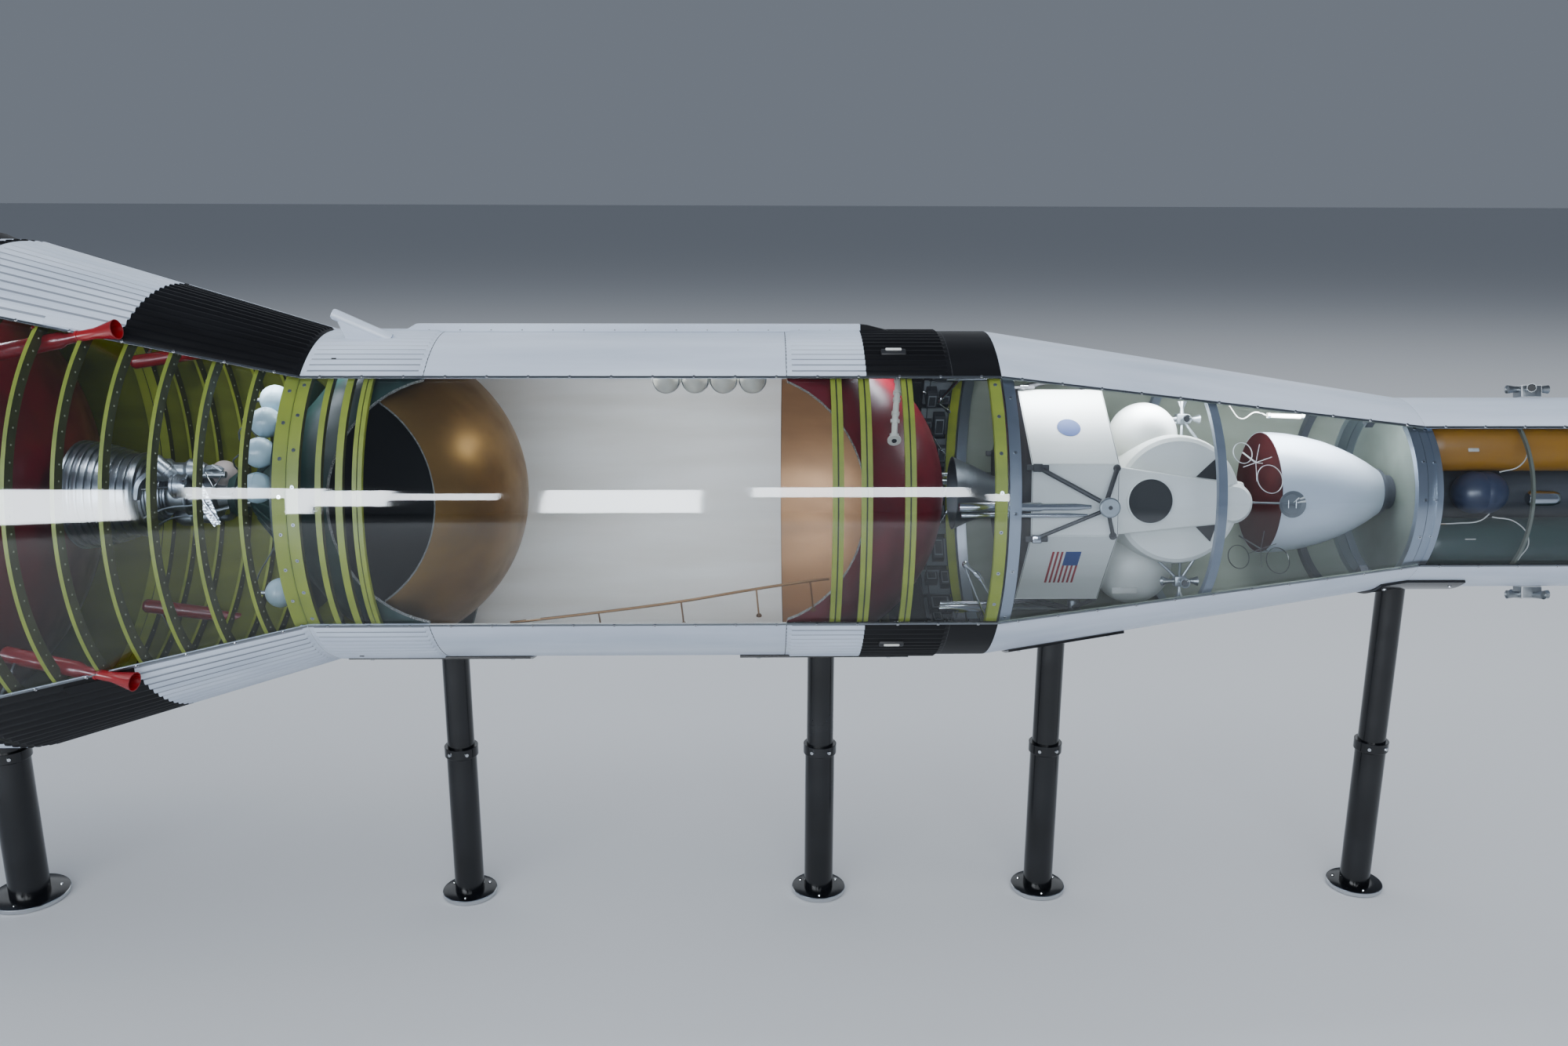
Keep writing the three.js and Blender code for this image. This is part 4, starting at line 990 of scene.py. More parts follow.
for near, far, radius in zip(stretch, stretch[1:], (3.2, 3.0, 3.4)):
    coupling = [(0, 2), (0, radius), (2.4, radius), (2.4, 2)]
    for share in (0.1, 0.75):
        spun(bm, coupling, near.lerp(far, share), (far - near).normalized(), 4, 20)
mouth = stretch[-1]
way = (at(3179, 125, 20) - mouth).normalized()
spun(bm, [(0, 2), (0, 5), (1.6, 5), (1.6, 2)], mouth, way, 4, 28)
rod(bm, mouth, mouth + way * 2 * INCH, 1.9, 1, 16)
into_piece(
    bm,
    "ring_unit_equipment",
    [plate_grey, box_black, label_white, chrome, cream_enamel],
    ["instrument_unit"],
)

# The adapter's own rings: bare aluminium at both ends, with a row of screws, and blue-grey enamel at
# the middle and far forward. A lamp tube on a wavy wire hangs under its roof.
ring_aluminium = bare("machined_aluminium", "#B4BBC6", 0.36, 900, 0.06)
grey_enamel = sprayed("blue_grey_enamel", "#8A929E", "#757D8A", 0.35, 0.5)
dark_grey = sprayed("slate_enamel", "#4C4F55", "#3D4046", 0.5)
lamp_glass = bpy.data.materials.new("opal_lamp_tube")
lamp_glass.use_nodes = True
lamp_shader = lamp_glass.node_tree.nodes["Principled BSDF"]
lamp_shader.inputs["Base Color"].default_value = linear("#F6F2E6")
lamp_shader.inputs["Roughness"].default_value = 0.3
lamp_shader.inputs["Emission Color"].default_value = linear("#FFF3D6")
lamp_shader.inputs["Emission Strength"].default_value = 2
bm = bmesh.new()
for station, width, depth, finish, low, high in [
    (3263.6, 8.6, 5, 0, 0, 360),
    (3422, 7, 4, 1, 0, 360),
    (3551, 6, 5, 2, WINDOW_HIGH, 360 + WINDOW_LOW),
    (3584.4, 8, 4, 0, 0, 360),
]:
    a, b = station - width / 2, station + width / 2
    ra, rb = [body_radius(s) - SKIN - 0.1 for s in (a, b)]
    outline = [(a, ra), (b, rb), (b, rb - depth), (a, rb - depth)]
    lathe(bm, outline, finish, low, high, steps=120)
joint_ring = [(3588.8, 75.4), (3594.6, 74.5), (3600.8, 74.5)]
joint_ring += [(3600.8, 70.5), (3594.6, 70.5), (3588.8, 71.4)]
lathe(bm, joint_ring, 0, steps=120)
lathe(bm, [(3262, 122.4), (3263, 122.4), (3263, 122), (3262, 122)], 2, steps=120)
rod(bm, at(3487, 66, 81), at(3512, 65, 81), 1.8, 3, 16)
for station in (3485, 3512):
    rod(bm, at(station, 66, 81), at(station + 2.4, 66, 81), 2.2, 0, 16)
WIRE = [(3485, 66, 81), (3474, 69, 80), (3464, 64, 79), (3455, 72, 80), (3448, 82, 80)]
pipe(bm, [at(*place) for place in WIRE], 0.5, 4, 8)
into_piece(
    bm,
    "adapter_rings",
    [ring_aluminium, grey_enamel, dark_grey, lamp_glass, cream_enamel],
)

# The lander's descent stage: an eight-sided box of painted sheet with seams, its aft end dark, with a
# bell, a blue disc and painted stripes on two slanting sides, and a folded landing leg on each of four.
# A leg is a chromed strut with a foot disc, held by four dark braces on brackets.
panel_white = sprayed("off_white_enamel", "#E9E9E4", "#D8D8D0", 0.4)
panel_blue = sprayed("blue_enamel", "#2C4A8C", "#233C75", 0.4)
panel_red = sprayed("stripe_red_enamel", "#A82A32", "#8E2129", 0.4)
lander_dark = sprayed("dull_dark_enamel", "#3B3A3C", "#2C2B2D", 0.5)


def turned(station, towards, across):
    """A point by its distance towards the window's middle and across it, upwards."""
    angle = math.radians(WINDOW_MIDDLE)
    side = towards * math.cos(angle) - across * math.sin(angle)
    up = towards * math.sin(angle) + across * math.cos(angle)
    return at(station) + Vector((0, -side, up)) * INCH


def turned_frame(quarter=0):
    """Takes x along the body, y towards the window's middle and z across it, a mirrored frame."""
    angle = WINDOW_MIDDLE + quarter
    towards = at(0, 1, angle) - at(0)
    across = at(0, 1, angle + 90) - at(0)
    columns = [AHEAD, towards.normalized(), across.normalized()]
    return Matrix(columns).transposed()


bm = bmesh.new()
corners = [
    (83, -27),
    (83, 27),
    (27, 83),
    (-27, 83),
    (-83, 27),
    (-83, -27),
    (-27, -83),
    (27, -83),
]
aft_face = bm.faces.new([bm.verts.new(turned(3284, n, a)) for n, a in corners])
made = bmesh.ops.extrude_face_region(bm, geom=[aft_face])
lifted = [item for item in made["geom"] if isinstance(item, bmesh.types.BMVert)]
bmesh.ops.translate(bm, verts=lifted, vec=(66 * INCH, 0, 0))
bmesh.ops.recalc_face_normals(bm, faces=bm.faces[:])
sides = [face for face in bm.faces if abs(face.normal.x) < 0.5]
bmesh.ops.inset_individual(bm, faces=sides, thickness=0.5 * INCH, depth=0)
bmesh.ops.inset_individual(bm, faces=sides, thickness=0.35 * INCH, depth=-0.35 * INCH)
bmesh.ops.inset_individual(bm, faces=sides, thickness=0.35 * INCH, depth=0.35 * INCH)
for face in bm.faces:
    if face.normal.x < -0.5:
        face.material_index = 3
DESCENT_BELL = [(3285, 0), (3285, 12), (3270, 14), (3256, 21), (3237, 29.5), (3237, 28)]
DESCENT_BELL += [(3256, 19.5), (3270, 12), (3274, 0)]
lathe(bm, DESCENT_BELL, 5, steps=48)
SLOPE_FACE = 77.9


def on_side(turn, station, towards, across):
    """A point by its place in a turned frame, from the body's axis."""
    return at(station) + turn @ Vector((0, towards, across)) * INCH


slope = turned_frame(45)
disc = on_side(slope, 3317.6, SLOPE_FACE, -1.9)
stud(bm, disc, slope @ Vector((0, 1, 0)), 9, 0.15, 1, 40, 1)
slope = turned_frame(-45)
STRIPE = 22.2 / 13
for row in range(13):
    station = 3303.8 + (row + 0.5) * STRIPE
    low, high = -17.7, 20.8 if row < 6 else 4
    middle = on_side(slope, station, SLOPE_FACE, (low + high) / 2)
    block(bm, middle, (STRIPE, 0.3, high - low), 2 - row % 2 * 2, slope)
block(bm, on_side(slope, 3320, SLOPE_FACE, 12.4), (7 * STRIPE, 0.32, 16.8), 1, slope)
STRUT = [(0, 0), (0, 3.4), (60, 3.4), (62, 2.6), (86, 2.6), (98, 1.4), (98, 0)]
THIN_STRUT = [(0, 0), (0, 1.8), (80, 1.8), (94, 1), (94, 0)]
FOOT = [(0, 0), (0, 4.6), (6, 4.6), (8, 7.5), (11, 7.5), (11.6, 6.7), (11.6, 0)]
# Columns: the brace's end on the box, its end on the leg, and its radius.
BRACES = [
    ((3290, 84, 24), (3333, 95, 0), 1.8),
    ((3348, 84, 24), (3338, 94, 1), 1.8),
    ((3287, 84, -29), (3333, 95, -8), 1.5),
    ((3346, 84, -27), (3339, 94, -8), 1.5),
]
for quarter in (0, 90, 180, 270):
    turn = turned_frame(quarter)
    out = turn @ Vector((0, 1, 0))
    spun(bm, STRUT, on_side(turn, 3228, 95, -4), AHEAD, 4, 24)
    spun(bm, THIN_STRUT, on_side(turn, 3230, 92, -10.5), AHEAD, 4, 16)
    spun(bm, FOOT, on_side(turn, 3339, 89, -4.5), out, 5, 32)
    stud(bm, on_side(turn, 3339, 100.6, -4.5), out, 1.6, 0.6, 3, 12)
    for a, b, thick in BRACES:
        foot = on_side(turn, *a)
        rod(bm, foot, on_side(turn, *b), thick, 3)
        stud(bm, foot - out * 0.8 * INCH, out, 3, 1.6, 3, 12)
    for across in (24.5, -29):
        block(bm, on_side(turn, 3288, 84.6, across), (17, 2.2, 4.4), 3, turn, 0.6)
        block(bm, on_side(turn, 3288, 85.9, across), (7, 1.4, 6), 3, turn, 0.5)
into_piece(
    bm,
    "lander_descent_body",
    [panel_white, panel_blue, panel_red, lander_dark, chrome, pump_steel],
    ["lander_descent_stage"],
)

# The lander's ascent stage, of painted sheet over frames: a drum-shaped cabin with its round face to
# the window, a tapered band across it, a black docking hatch, two dark panes and round tank lobes.
# Four nozzle quads stand on struts, and two wire aerials and a dish on rods.
pane_black = sprayed("matt_black_paint", "#08080A", "#0F0F12", 0.55)
aerial_grey = sprayed("light_grey_enamel", "#D3D5D6", "#BDBFC1", 0.35)
bm = bmesh.new()
towards = turned(0, 1, 0) - turned(0, 0, 0)
facing = towards.normalized()
CABIN = [(-46, 0), (-46, 46), (-42, 50), (51, 50), (56, 48.4), (58, 45.5), (58, 0)]
spun(bm, CABIN, turned(3403, 0, -2), facing, 0, 72)
band = bmesh.ops.create_cube(bm, size=1)["verts"]
for vert in band:
    fore, near, high = vert.co.x > 0, vert.co.y > 0, vert.co.z > 0
    upper, lower = (11.5, -19.6) if fore else (25, -28)
    vert.co = turned(
        3440 if fore else 3350.4,
        (64 if fore else 67) if near else 20,
        upper if high else lower,
    )
bmesh.ops.recalc_face_normals(bm, faces=list({f for v in band for f in v.link_faces}))
bmesh.ops.bevel(
    bm,
    geom=list({edge for vert in band for edge in vert.link_edges}),
    offset=1.2 * INCH,
    affect="EDGES",
    segments=3,
    profile=0.5,
    material=-1,
)
NOSE = [(-40, 0), (-40, 16.5), (52, 16.5), (57, 15.6), (60, 13), (60, 0)]
spun(bm, NOSE, turned(3445.5, 0, -4.6), facing, 0, 48)
block(bm, turned(3440, 8, -4), (36, 84, 31), 0, turned_frame(), 3)
hatch = turned(3378.5, 66.4, -1.9)
HATCH_RIM = [(0, 0), (0, 17.8), (1.6, 17.8), (2.1, 16.9), (2.1, 0)]
spun(bm, HATCH_RIM, hatch, facing, 0, 64)
stud(bm, hatch + facing * 1.8 * INCH, facing, 16.9, 0.5, 1, 64, 0.99)
for pane in [
    [(3416, 16), (3432, 31), (3433, 13.7)],
    [(3416.7, -22.3), (3428.4, -34.1), (3432.8, -20.7)],
]:
    rim = [bm.verts.new(turned(station, 58.4, across)) for station, across in pane]
    made = bmesh.ops.extrude_face_region(bm, geom=[bm.faces.new(rim)])
    lifted = [item for item in made["geom"] if isinstance(item, bmesh.types.BMVert)]
    bmesh.ops.translate(bm, verts=lifted, vec=towards * 0.8)
    faces = {face for vert in [*rim, *lifted] for face in vert.link_faces}
    bmesh.ops.recalc_face_normals(bm, faces=list(faces))
    for face in faces:
        face.material_index = 1
ball(bm, turned(3386, 18, 46), 27, 0, 48)
ball(bm, turned(3384, 2, -58), 32, 0, 48)
block(bm, turned(3384, -20, 0), (66, 50, 104), 0, turned_frame(), 9)
block(bm, turned(3371, 30.5, -76), (20, 0.5, 5), 4, turned_frame(), 0.1)
SMALL_BELL = [(3, 0), (3, 2), (7, 1.4), (9, 1.7), (14, 3.8), (14, 3.3), (9.5, 1), (8, 0)]


def nozzle_quad(bm, centre, turn, feet):
    """Four small bells on a box, held by struts. Finishes 2 and 3 are metal and dark."""
    block(bm, centre, (9, 8, 8), 2, turn, 0.6)
    for way in [(1, 0, 0), (-1, 0, 0), (0, 0, 1), (0, 1, 0)]:
        out = turn @ Vector(way)
        spun(bm, SMALL_BELL, centre, out, 2, 18)
        rod(bm, centre + out * 9.6 * INCH, centre + out * 12 * INCH, 1, 3, 14, 2.4)
    for foot in feet:
        rod(bm, centre, foot, 1.1, 2, 10)


for high, n, station in [(60, 22, 3416), (-66, 48, 3409)]:
    sign = 1 if high > 0 else -1
    turn = turned_frame() if sign > 0 else turned_frame() @ Matrix.Rotation(math.pi, 3, "Y")
    feet = [
        turned(station - 24, n - 4, sign * 43),
        turned(station - 2, n + 6, sign * 44),
        turned(station + 20, n + 2, sign * 34),
    ]
    nozzle_quad(bm, turned(station, n, high), turn, feet)
for high in (58, -60):
    sign = 1 if high > 0 else -1
    feet = [turned(3384, -40, sign * 36), turned(3418, -38, sign * 34)]
    nozzle_quad(bm, turned(3404, -60, high), turned_frame(180), feet)
# Columns: the aerial's finish, its foot, its hub, and its loops, each a middle and a radius.
AERIALS = [
    (5, (3456.8, 45, 34.2), (3465.5, 50, 26.5), [((3477, 50, 13.7), 11), ((3455, 50, 34), 8)]),
    (
        3,
        (3455.8, 45, -30.8),
        (3471.5, 50, -40.8),
        [((3485.4, 50, -50), 10), ((3454.4, 50, -46.9), 9)],
    ),
]
SPOKES = [(1, 0.3, 0.4), (-1, 0.3, -0.3), (0.1, 0.3, 1.3), (0, 0.3, -1.3), (0, 1.2, 0)]
for wire, foot, hub, loops in AERIALS:
    middle = turned(*hub)
    rod(bm, turned(*foot), middle, 0.6, wire, 8)
    for way in SPOKES:
        rod(bm, middle, middle + turned_frame() @ Vector(way) * 11 * INCH, 0.3, wire, 6)
    for centre, size in loops:
        way = (turned_frame() @ Vector((0.25, 1, 0.3))).normalized()
        rim = [(-0.3, size), (-0.3, size + 0.5), (0.3, size + 0.5), (0.3, size)]
        spun(bm, rim, turned(*centre), way, wire, 40)
DISH = [(-2, 0), (-2, 8), (0.6, 10.4), (1.4, 10.4), (-1, 7.6), (-1.2, 0)]
dish = turned(3493, 55, -5.5)
rod(bm, turned(3450, 54, -4), turned(3497, 55, -5.2), 0.8, 5)
spun(bm, DISH, dish, facing, 6, 40)
for along in (-3, 3):
    ends = [dish + turned_frame() @ Vector((along, 0.4, across)) * INCH for across in (3, -3)]
    rod(bm, *ends, 0.5, 2, 8)
into_piece(
    bm,
    "lander_ascent_body",
    [panel_white, pane_black, pump_steel, lander_dark, label_white, aerial_grey, plate_grey],
    ["lander_ascent_stage"],
)

# The service module: its engine's bell in white enamel, closed by a dark red disc, and behind the clear
# panel four long tanks, yellow above and dark green below, with dark balls and a chromed bottle
# between. All are welded and sprayed. Nozzle quads stand outside on the skin.
bell_white = sprayed("cool_white_enamel", "#D2D9E2", "#BEC6D1", 0.3)
disc_red = sprayed("dark_red_enamel", "#3A060A", "#2E0508", 0.5, 0, 0.2)
bulkhead_pale = sprayed("pale_bulkhead_enamel", "#7A8177", "#697066", 0.5)
tank_yellow = sprayed("amber_enamel", "#B07600", "#966200", 0.32)
tank_green = sprayed("deep_green_enamel", "#0F3430", "#0B2926", 0.35)
ball_blue = sprayed("slate_blue_enamel", "#353D55", "#2A3147", 0.28)
rib_grey = sprayed("olive_grey_enamel", "#6A6E62", "#5A5E52", 0.4)
bm = bmesh.new()
MAIN_BELL = [(3488, 49.2), (3496, 49), (3508, 48), (3522, 45.6), (3536, 42), (3550, 37)]
MAIN_BELL += [(3562, 31.5), (3573, 25.5), (3583, 19), (3583, 17.6), (3490, 47)]
lathe(bm, MAIN_BELL, 0, steps=96)
lathe(bm, [(3487.8, 0), (3487.8, 48.6), (3489.4, 48.6), (3489.4, 0)], 1, steps=96)
lathe(bm, [(3583, 17.4), (3583, 19.2), (3585.6, 19.2), (3585.6, 17.4)], 2, steps=64)
rod(bm, at(3583.5), at(3594.4), 14, 2, 32)
into_piece(
    bm,
    "service_engine_parts",
    [bell_white, disc_red, dark_grey],
    ["service_engine_bell"],
)
LONG_TANK = [(0, 0), (0, 8), (3, 14), (9, 18.6), (16, 20.5), (133, 20.5), (140, 18.6), (146, 14)]
LONG_TANK += [(149, 8), (149, 0)]
BOTTLE = [(0, 0), (0, 4), (2, 6), (20, 6), (24, 4.6), (26, 2), (26.6, 0)]
bm = bmesh.new()
for start in (3594.76, 3746.6):
    lathe(bm, [(start, 0), (start, 70.4), (start + 3, 70.4), (start + 3, 0)], 6, steps=96)
for turn, finish in [(52, 0), (309.5, 1), (128, 0), (232, 1)]:
    foot = at(3597.6, 50, WINDOW_MIDDLE + turn)
    spun(bm, LONG_TANK, foot, AHEAD, finish, 48)
rod(bm, at(3598), at(3746), 22, 5, 64)
for station in (3645, 3654):
    ball(bm, turned(station, 37, 2), 16.7, 2, 48)
spun(bm, BOTTLE, turned(3684, 44, -2), AHEAD, 3, 32)
rod(bm, turned(3700, 20, -2), turned(3700, 44, -2), 2, 3, 16)
for line in [
    [(3600, 48, -22), (3626, 50, -21), (3644, 50, -19), (3652, 48, -14)],
    [(3652, 52, -16), (3668, 58, -20), (3677, 60, -34), (3674, 52, -50)],
    [(3676, 45, 50), (3675, 56, 36), (3668, 58, 24), (3656, 52, 19)],
]:
    pipe(bm, [turned(*place) for place in line], 0.5, 4, 10)
for station, n, across in [(3635.2, 48, 36.3), (3636, 48, -34.5)]:
    turn = turned_frame(20 if across > 0 else -12)
    block(bm, turned(station, n + 3.4, across), (8.5, 0.4, 3), 4, turn, 0.1)
into_piece(
    bm,
    "service_module_fittings",
    [tank_yellow, tank_green, ball_blue, chrome, label_white, dark_grey, bulkhead_pale],
    ["service_module_tanks"],
)
bm = bmesh.new()
RIB = [(3669.6, 74.5), (3671.8, 74.5), (3671.8, 71.8), (3669.6, 71.8)]
lathe(bm, RIB, 0, steps=120)
into_piece(bm, "service_module_rib", [rib_grey])
QUAD_BELL = [(0, 0), (0, 2.6), (3, 2.6), (9, 3.5), (9, 3.1), (4, 1.8), (3, 0)]
bm = bmesh.new()
for quarter in (95, 185, 275):
    turn = turned_frame(quarter)
    out = turn @ Vector((0, 1, 0))
    centre = at(3710.5, 82, WINDOW_MIDDLE + quarter)
    block(bm, centre, (17, 10.4, 13), 2, turn, 0.8)
    for along, sideways, reach in [(1, 0, 8), (-1, 0, 8), (0.35, 1, 6), (-0.35, -1, 6)]:
        line = (turn @ Vector((along, 0, sideways))).normalized()
        foot = centre + out * 2 * INCH + line * reach * INCH
        spun(bm, QUAD_BELL, foot, line, 0, 24)
        rod(bm, foot + line * 3.2 * INCH, foot + line * 8 * INCH, 1.9, 1, 20, 2.8)
into_piece(bm, "service_module_quads", [pump_steel, box_black, aerial_grey])

# The first stage's five engines, nearly twice as large as those above, hang from a heat shield. Their
# bells are banded by hoops, and the shield and the boots round them are dark quilted blankets.
quilt_dark = crinkled("dark_blanket", "#2B2A2A", 14, 3)
quilt_shader = quilt_dark.node_tree.nodes["Principled BSDF"]
quilt_shader.inputs["Metallic"].default_value = 0.2
quilt_shader.inputs["Roughness"].default_value = 0.55
ENGINE_SPOTS = [(0, 0), (182, 45), (182, 135), (182, 225), (182, 315)]
BOOT = [(100, 17), (108, 40), (111.2, 44), (111.2, 14), (100, 14)]
bm = bmesh.new()
for offset, turn in ENGINE_SPOTS:
    upper_engine(bm, -115.5, offset, turn, 1.78)
lathe(bm, [(111, 0), (111, 195.4), (121, 195.4), (121, 0)], 3, steps=120)
for offset, turn in ENGINE_SPOTS:
    lathe(bm, BOOT, 3, steps=32, centre=(offset * 0.985, turn))
into_piece(
    bm,
    "first_stage_engine_parts",
    [bell_steel, pump_steel, foil, quilt_dark],
    ["first_stage_engines"],
)

# The fairings over the outboard engines, half cones of white sheet that go black ahead, and the fins
# of sheet over ribs on their backs, with two rows of rivets along the root.
FAIRING_LENGTH, FAIRING_RADIUS = 350, 70
FAIRING_WALL = 2.4


def outward(degrees):
    """The way straight out from the axis at an angle."""
    return (at(0, 1, degrees) - at(0)).normalized()


for index, degrees in enumerate((45, 135, 225, 315)):
    bm = bmesh.new()
    made = bmesh.ops.create_cone(
        bm,
        cap_ends=True,
        segments=96,
        radius1=FAIRING_RADIUS * INCH,
        radius2=3 * INCH,
        depth=FAIRING_LENGTH * INCH,
        matrix=Matrix.Rotation(math.radians(90), 4, "Y"),
    )
    out = at(0, 1, degrees) - at(0)
    side = outward(degrees + 90)
    for vert in bm.verts:
        station = FAIRING_LENGTH / 2 + vert.co.x / INCH
        place = 178 + 13 * station / FAIRING_LENGTH
        vert.co = at(station, place, degrees) + out * vert.co.z / INCH + side * vert.co.y
    bmesh.ops.recalc_face_normals(bm, faces=bm.faces[:])
    ends = [face for face in bm.faces if abs(face.normal.x) > 0.95]
    open_end = [face for face in ends if face.calc_center_median().x < at(100).x]
    bmesh.ops.delete(bm, geom=open_end, context="FACES_ONLY")
    bmesh.ops.recalc_face_normals(bm, faces=bm.faces[:])
    bmesh.ops.solidify(bm, geom=bm.faces[:], thickness=FAIRING_WALL * INCH)
    fin = bmesh.ops.create_cube(bm, size=1)["verts"]
    for vert in fin:
        outer, fore = vert.co.z > 0, vert.co.x > 0
        thick = (2 if outer else 6) * (1 if vert.co.y > 0 else -1)
        station = (105 if outer else 210) if fore else 40
        vert.co = at(station, 378 if outer else 205, degrees) + side * thick * INCH
    faces = list({face for vert in fin for face in vert.link_faces})
    bmesh.ops.recalc_face_normals(bm, faces=faces)
    bmesh.ops.bevel(
        bm,
        geom=list({edge for face in faces for edge in face.edges}),
        offset=1.2 * INCH,
        affect="EDGES",
        segments=2,
        profile=0.5,
        material=-1,
    )
    for face in bm.faces:
        station, radius, _ = polar(face.calc_center_median())
        if radius < 262 and station > 240:
            face.material_index = 1
    for row in range(11):
        for sign in (-1, 1):
            spot = at(48 + row * 15, 252 - row * 1.2, degrees) + side * sign * 5.2 * INCH
            stud(bm, spot, side * sign, 0.9, 0.6, 0, 6)
    into_piece(
        bm,
        f"engine_fairing_shell_{index + 1}",
        [white_enamel, black_enamel],
        [f"engine_fairing_{index + 1}"],
    )

# The command module's cover, a cone of painted sheet with two dark seams and three dark windows. Ahead
# of it the escape tower, of welded tubes, carries the escape motor and its four nozzles.
bm = bmesh.new()
COVER = [(3749.86, 0), (3749.86, 77), (3757.8, 77), (3862, 22), (3870, 18.6), (3878, 15)]
COVER += [(3882, 9), (3884, 0)]
lathe(bm, COVER, 0, steps=96)
for a, radius in [(3800, 54.8), (3850, 28.4)]:
    b, inner = a + 0.8, radius - 2
    lathe(bm, [(a, radius), (b, radius), (b, inner), (a, inner)], 1, steps=96)
for degrees in (9, 69, -51):
    out = (at(0, 0.885, degrees) - at(0) + Vector((0.466 * INCH, 0, 0))).normalized()
    stud(bm, at(3815, 46.6, degrees), out, 5, 0.6, 1, 24, 0.9)
into_piece(bm, "command_module_shell", [white_enamel, dark_grey], ["command_module_cover"])


def tower_point(station, degrees):
    """A point on a corner of the tower, which grows narrower ahead."""
    return at(station, 20 - 7 * (station - 3862) / 143, degrees)


bm = bmesh.new()
for degrees in (45, 135, 225, 315):
    rod(bm, tower_point(3864, degrees), tower_point(4003, degrees), 1.8, 0, 16)
    for station in (3900, 3950, 3998):
        rod(bm, tower_point(station, degrees), tower_point(station, degrees + 90), 1.2, 0, 12)
    for start, end in [(3900, 3950), (3950, 3998)]:
        rod(bm, tower_point(start, degrees), tower_point(end, degrees + 90), 1, 0, 12)
        ball(bm, tower_point(start, degrees), 2.4, 0, 12)
lathe(bm, [(4003, 0), (4003, 15), (4005, 15), (4005, 0)], 0, steps=48)
into_piece(bm, "escape_tower_frame", [white_enamel], ["escape_tower"])
ESCAPE_MOTOR = [(4005.2, 0), (4005.2, 17), (4012, 17), (4034, 13), (4050, 13), (4050.6, 13.5)]
ESCAPE_MOTOR += [(4052, 13.5), (4052.6, 13), (4130, 13), (4130.6, 13.4), (4132, 13.4)]
ESCAPE_MOTOR += [(4132.6, 13), (4188, 13), (4200, 11.6), (4210, 9.5), (4222, 6.4), (4232, 3.4)]
ESCAPE_MOTOR += [(4238, 1.6), (4240.5, 0)]
NOZZLE = [(0, 0), (0, 3.4), (6, 2.6), (12, 3), (21, 5), (21, 4.4), (13, 2), (11, 0)]
bm = bmesh.new()
lathe(bm, ESCAPE_MOTOR, 0, steps=64)
for degrees in (45, 135, 225, 315):
    foot, mouth = at(4040, 12, degrees), at(4020, 19.4, degrees)
    spun(bm, NOZZLE, foot, (mouth - foot).normalized(), 1, 24)
into_piece(bm, "escape_motor_body", [white_enamel, pump_steel], ["escape_motor"])

# The long boxes over the wiring, white sheet folded to a sloped roof with sloped ends and screws
# along their feet, the plates beside the braking motors' mouths, and the swept fairing over a pipe
# on the aft skirt.
def slab(bm, points, finish=0):
    """The smallest closed shell round a set of points."""
    verts = [bm.verts.new(point) for point in points]
    made = bmesh.ops.convex_hull(bm, input=verts)
    spare = [item for item in made["geom_interior"] if isinstance(item, bmesh.types.BMVert)]
    bmesh.ops.delete(bm, geom=spare, context="VERTS")
    faces = {face for vert in verts if vert.is_valid for face in vert.link_faces}
    bmesh.ops.dissolve_limit(
        bm,
        angle_limit=0.01,
        verts=points_of(faces),
        edges=list({edge for face in faces for edge in face.edges}),
    )
    faces = list({face for vert in verts if vert.is_valid for face in vert.link_faces})
    bmesh.ops.recalc_face_normals(bm, faces=faces)
    for face in faces:
        face.material_index = finish


TUNNEL_SIDE = 95  # degrees
# Columns: CAD node, ends of the white part, foot, height, width and the end of the black part.
TUNNELS = [
    ("third_stage_tunnel", 2804, 3160, 130.15, 5.5, 28, 3186),
    ("second_stage_tunnel", 1780, 2490, 198.15, 7, 34, 2505),
]
for name, start, end, radius, height, width, tail in TUNNELS:
    bm = bmesh.new()
    half = math.degrees(width / 2 / radius)
    roof = math.degrees((width / 2 - 3) / radius)
    for a, b, slope_a, slope_b, finish in [
        (start, end, 9, 0, 0),
        (end + 0.1, tail, 0, 20, 1),
    ]:
        points = []
        for turn in range(-3, 4):
            low_turn = TUNNEL_SIDE + half * turn / 3
            high_turn = TUNNEL_SIDE + roof * turn / 3
            points += [at(a, radius, low_turn), at(b, radius, low_turn)]
            points += [at(a + slope_a, radius + height, high_turn)]
            points += [at(b - slope_b, radius + height - 0.6 * finish, high_turn)]
        slab(bm, points, finish)
    for station in range(start + 20, end, 24):
        for sign in (-1, 1):
            turn = TUNNEL_SIDE + sign * (half - 0.45)
            out = outward(turn)
            stud(bm, at(station, radius + 0.9, turn), out, 0.8, 0.7, 2, 8)
    into_piece(bm, name + "_box", [white_enamel, black_enamel, bell_steel], [name], sharp=20)
bm = bmesh.new()
for plate in plates:
    middle = sum(degrees for _, _, degrees in plate) / len(plate)
    if not WINDOW_LOW < (middle + 180) % 360 - 180 < WINDOW_HIGH:
        slab(bm, [at(*corner) for corner in plate], quarters(WHITE, BLACK)(middle))
into_piece(bm, "motor_mouth_plates", [white_enamel, black_enamel])
SWEPT_SIDE = 78  # degrees
SWEPT_TUBE = [(0, 0), (0, 4.2), (44.4, 4.2), (46, 3.7), (46.4, 2.8), (46.4, 0)]
bm = bmesh.new()
foot, tip = at(2801, 129.5, SWEPT_SIDE), at(2759, 150, SWEPT_SIDE)
spun(bm, SWEPT_TUBE, foot, (tip - foot).normalized(), 0, 40)
side = outward(SWEPT_SIDE + 90)
wall = []
for sign in (-1, 1):
    for station, radius in [(2769, 129), (2801, 129), (2764, 144), (2768, 147), (2796, 133)]:
        wall.append(at(station, radius, SWEPT_SIDE) + side * sign * 3.9 * INCH)
slab(bm, wall)
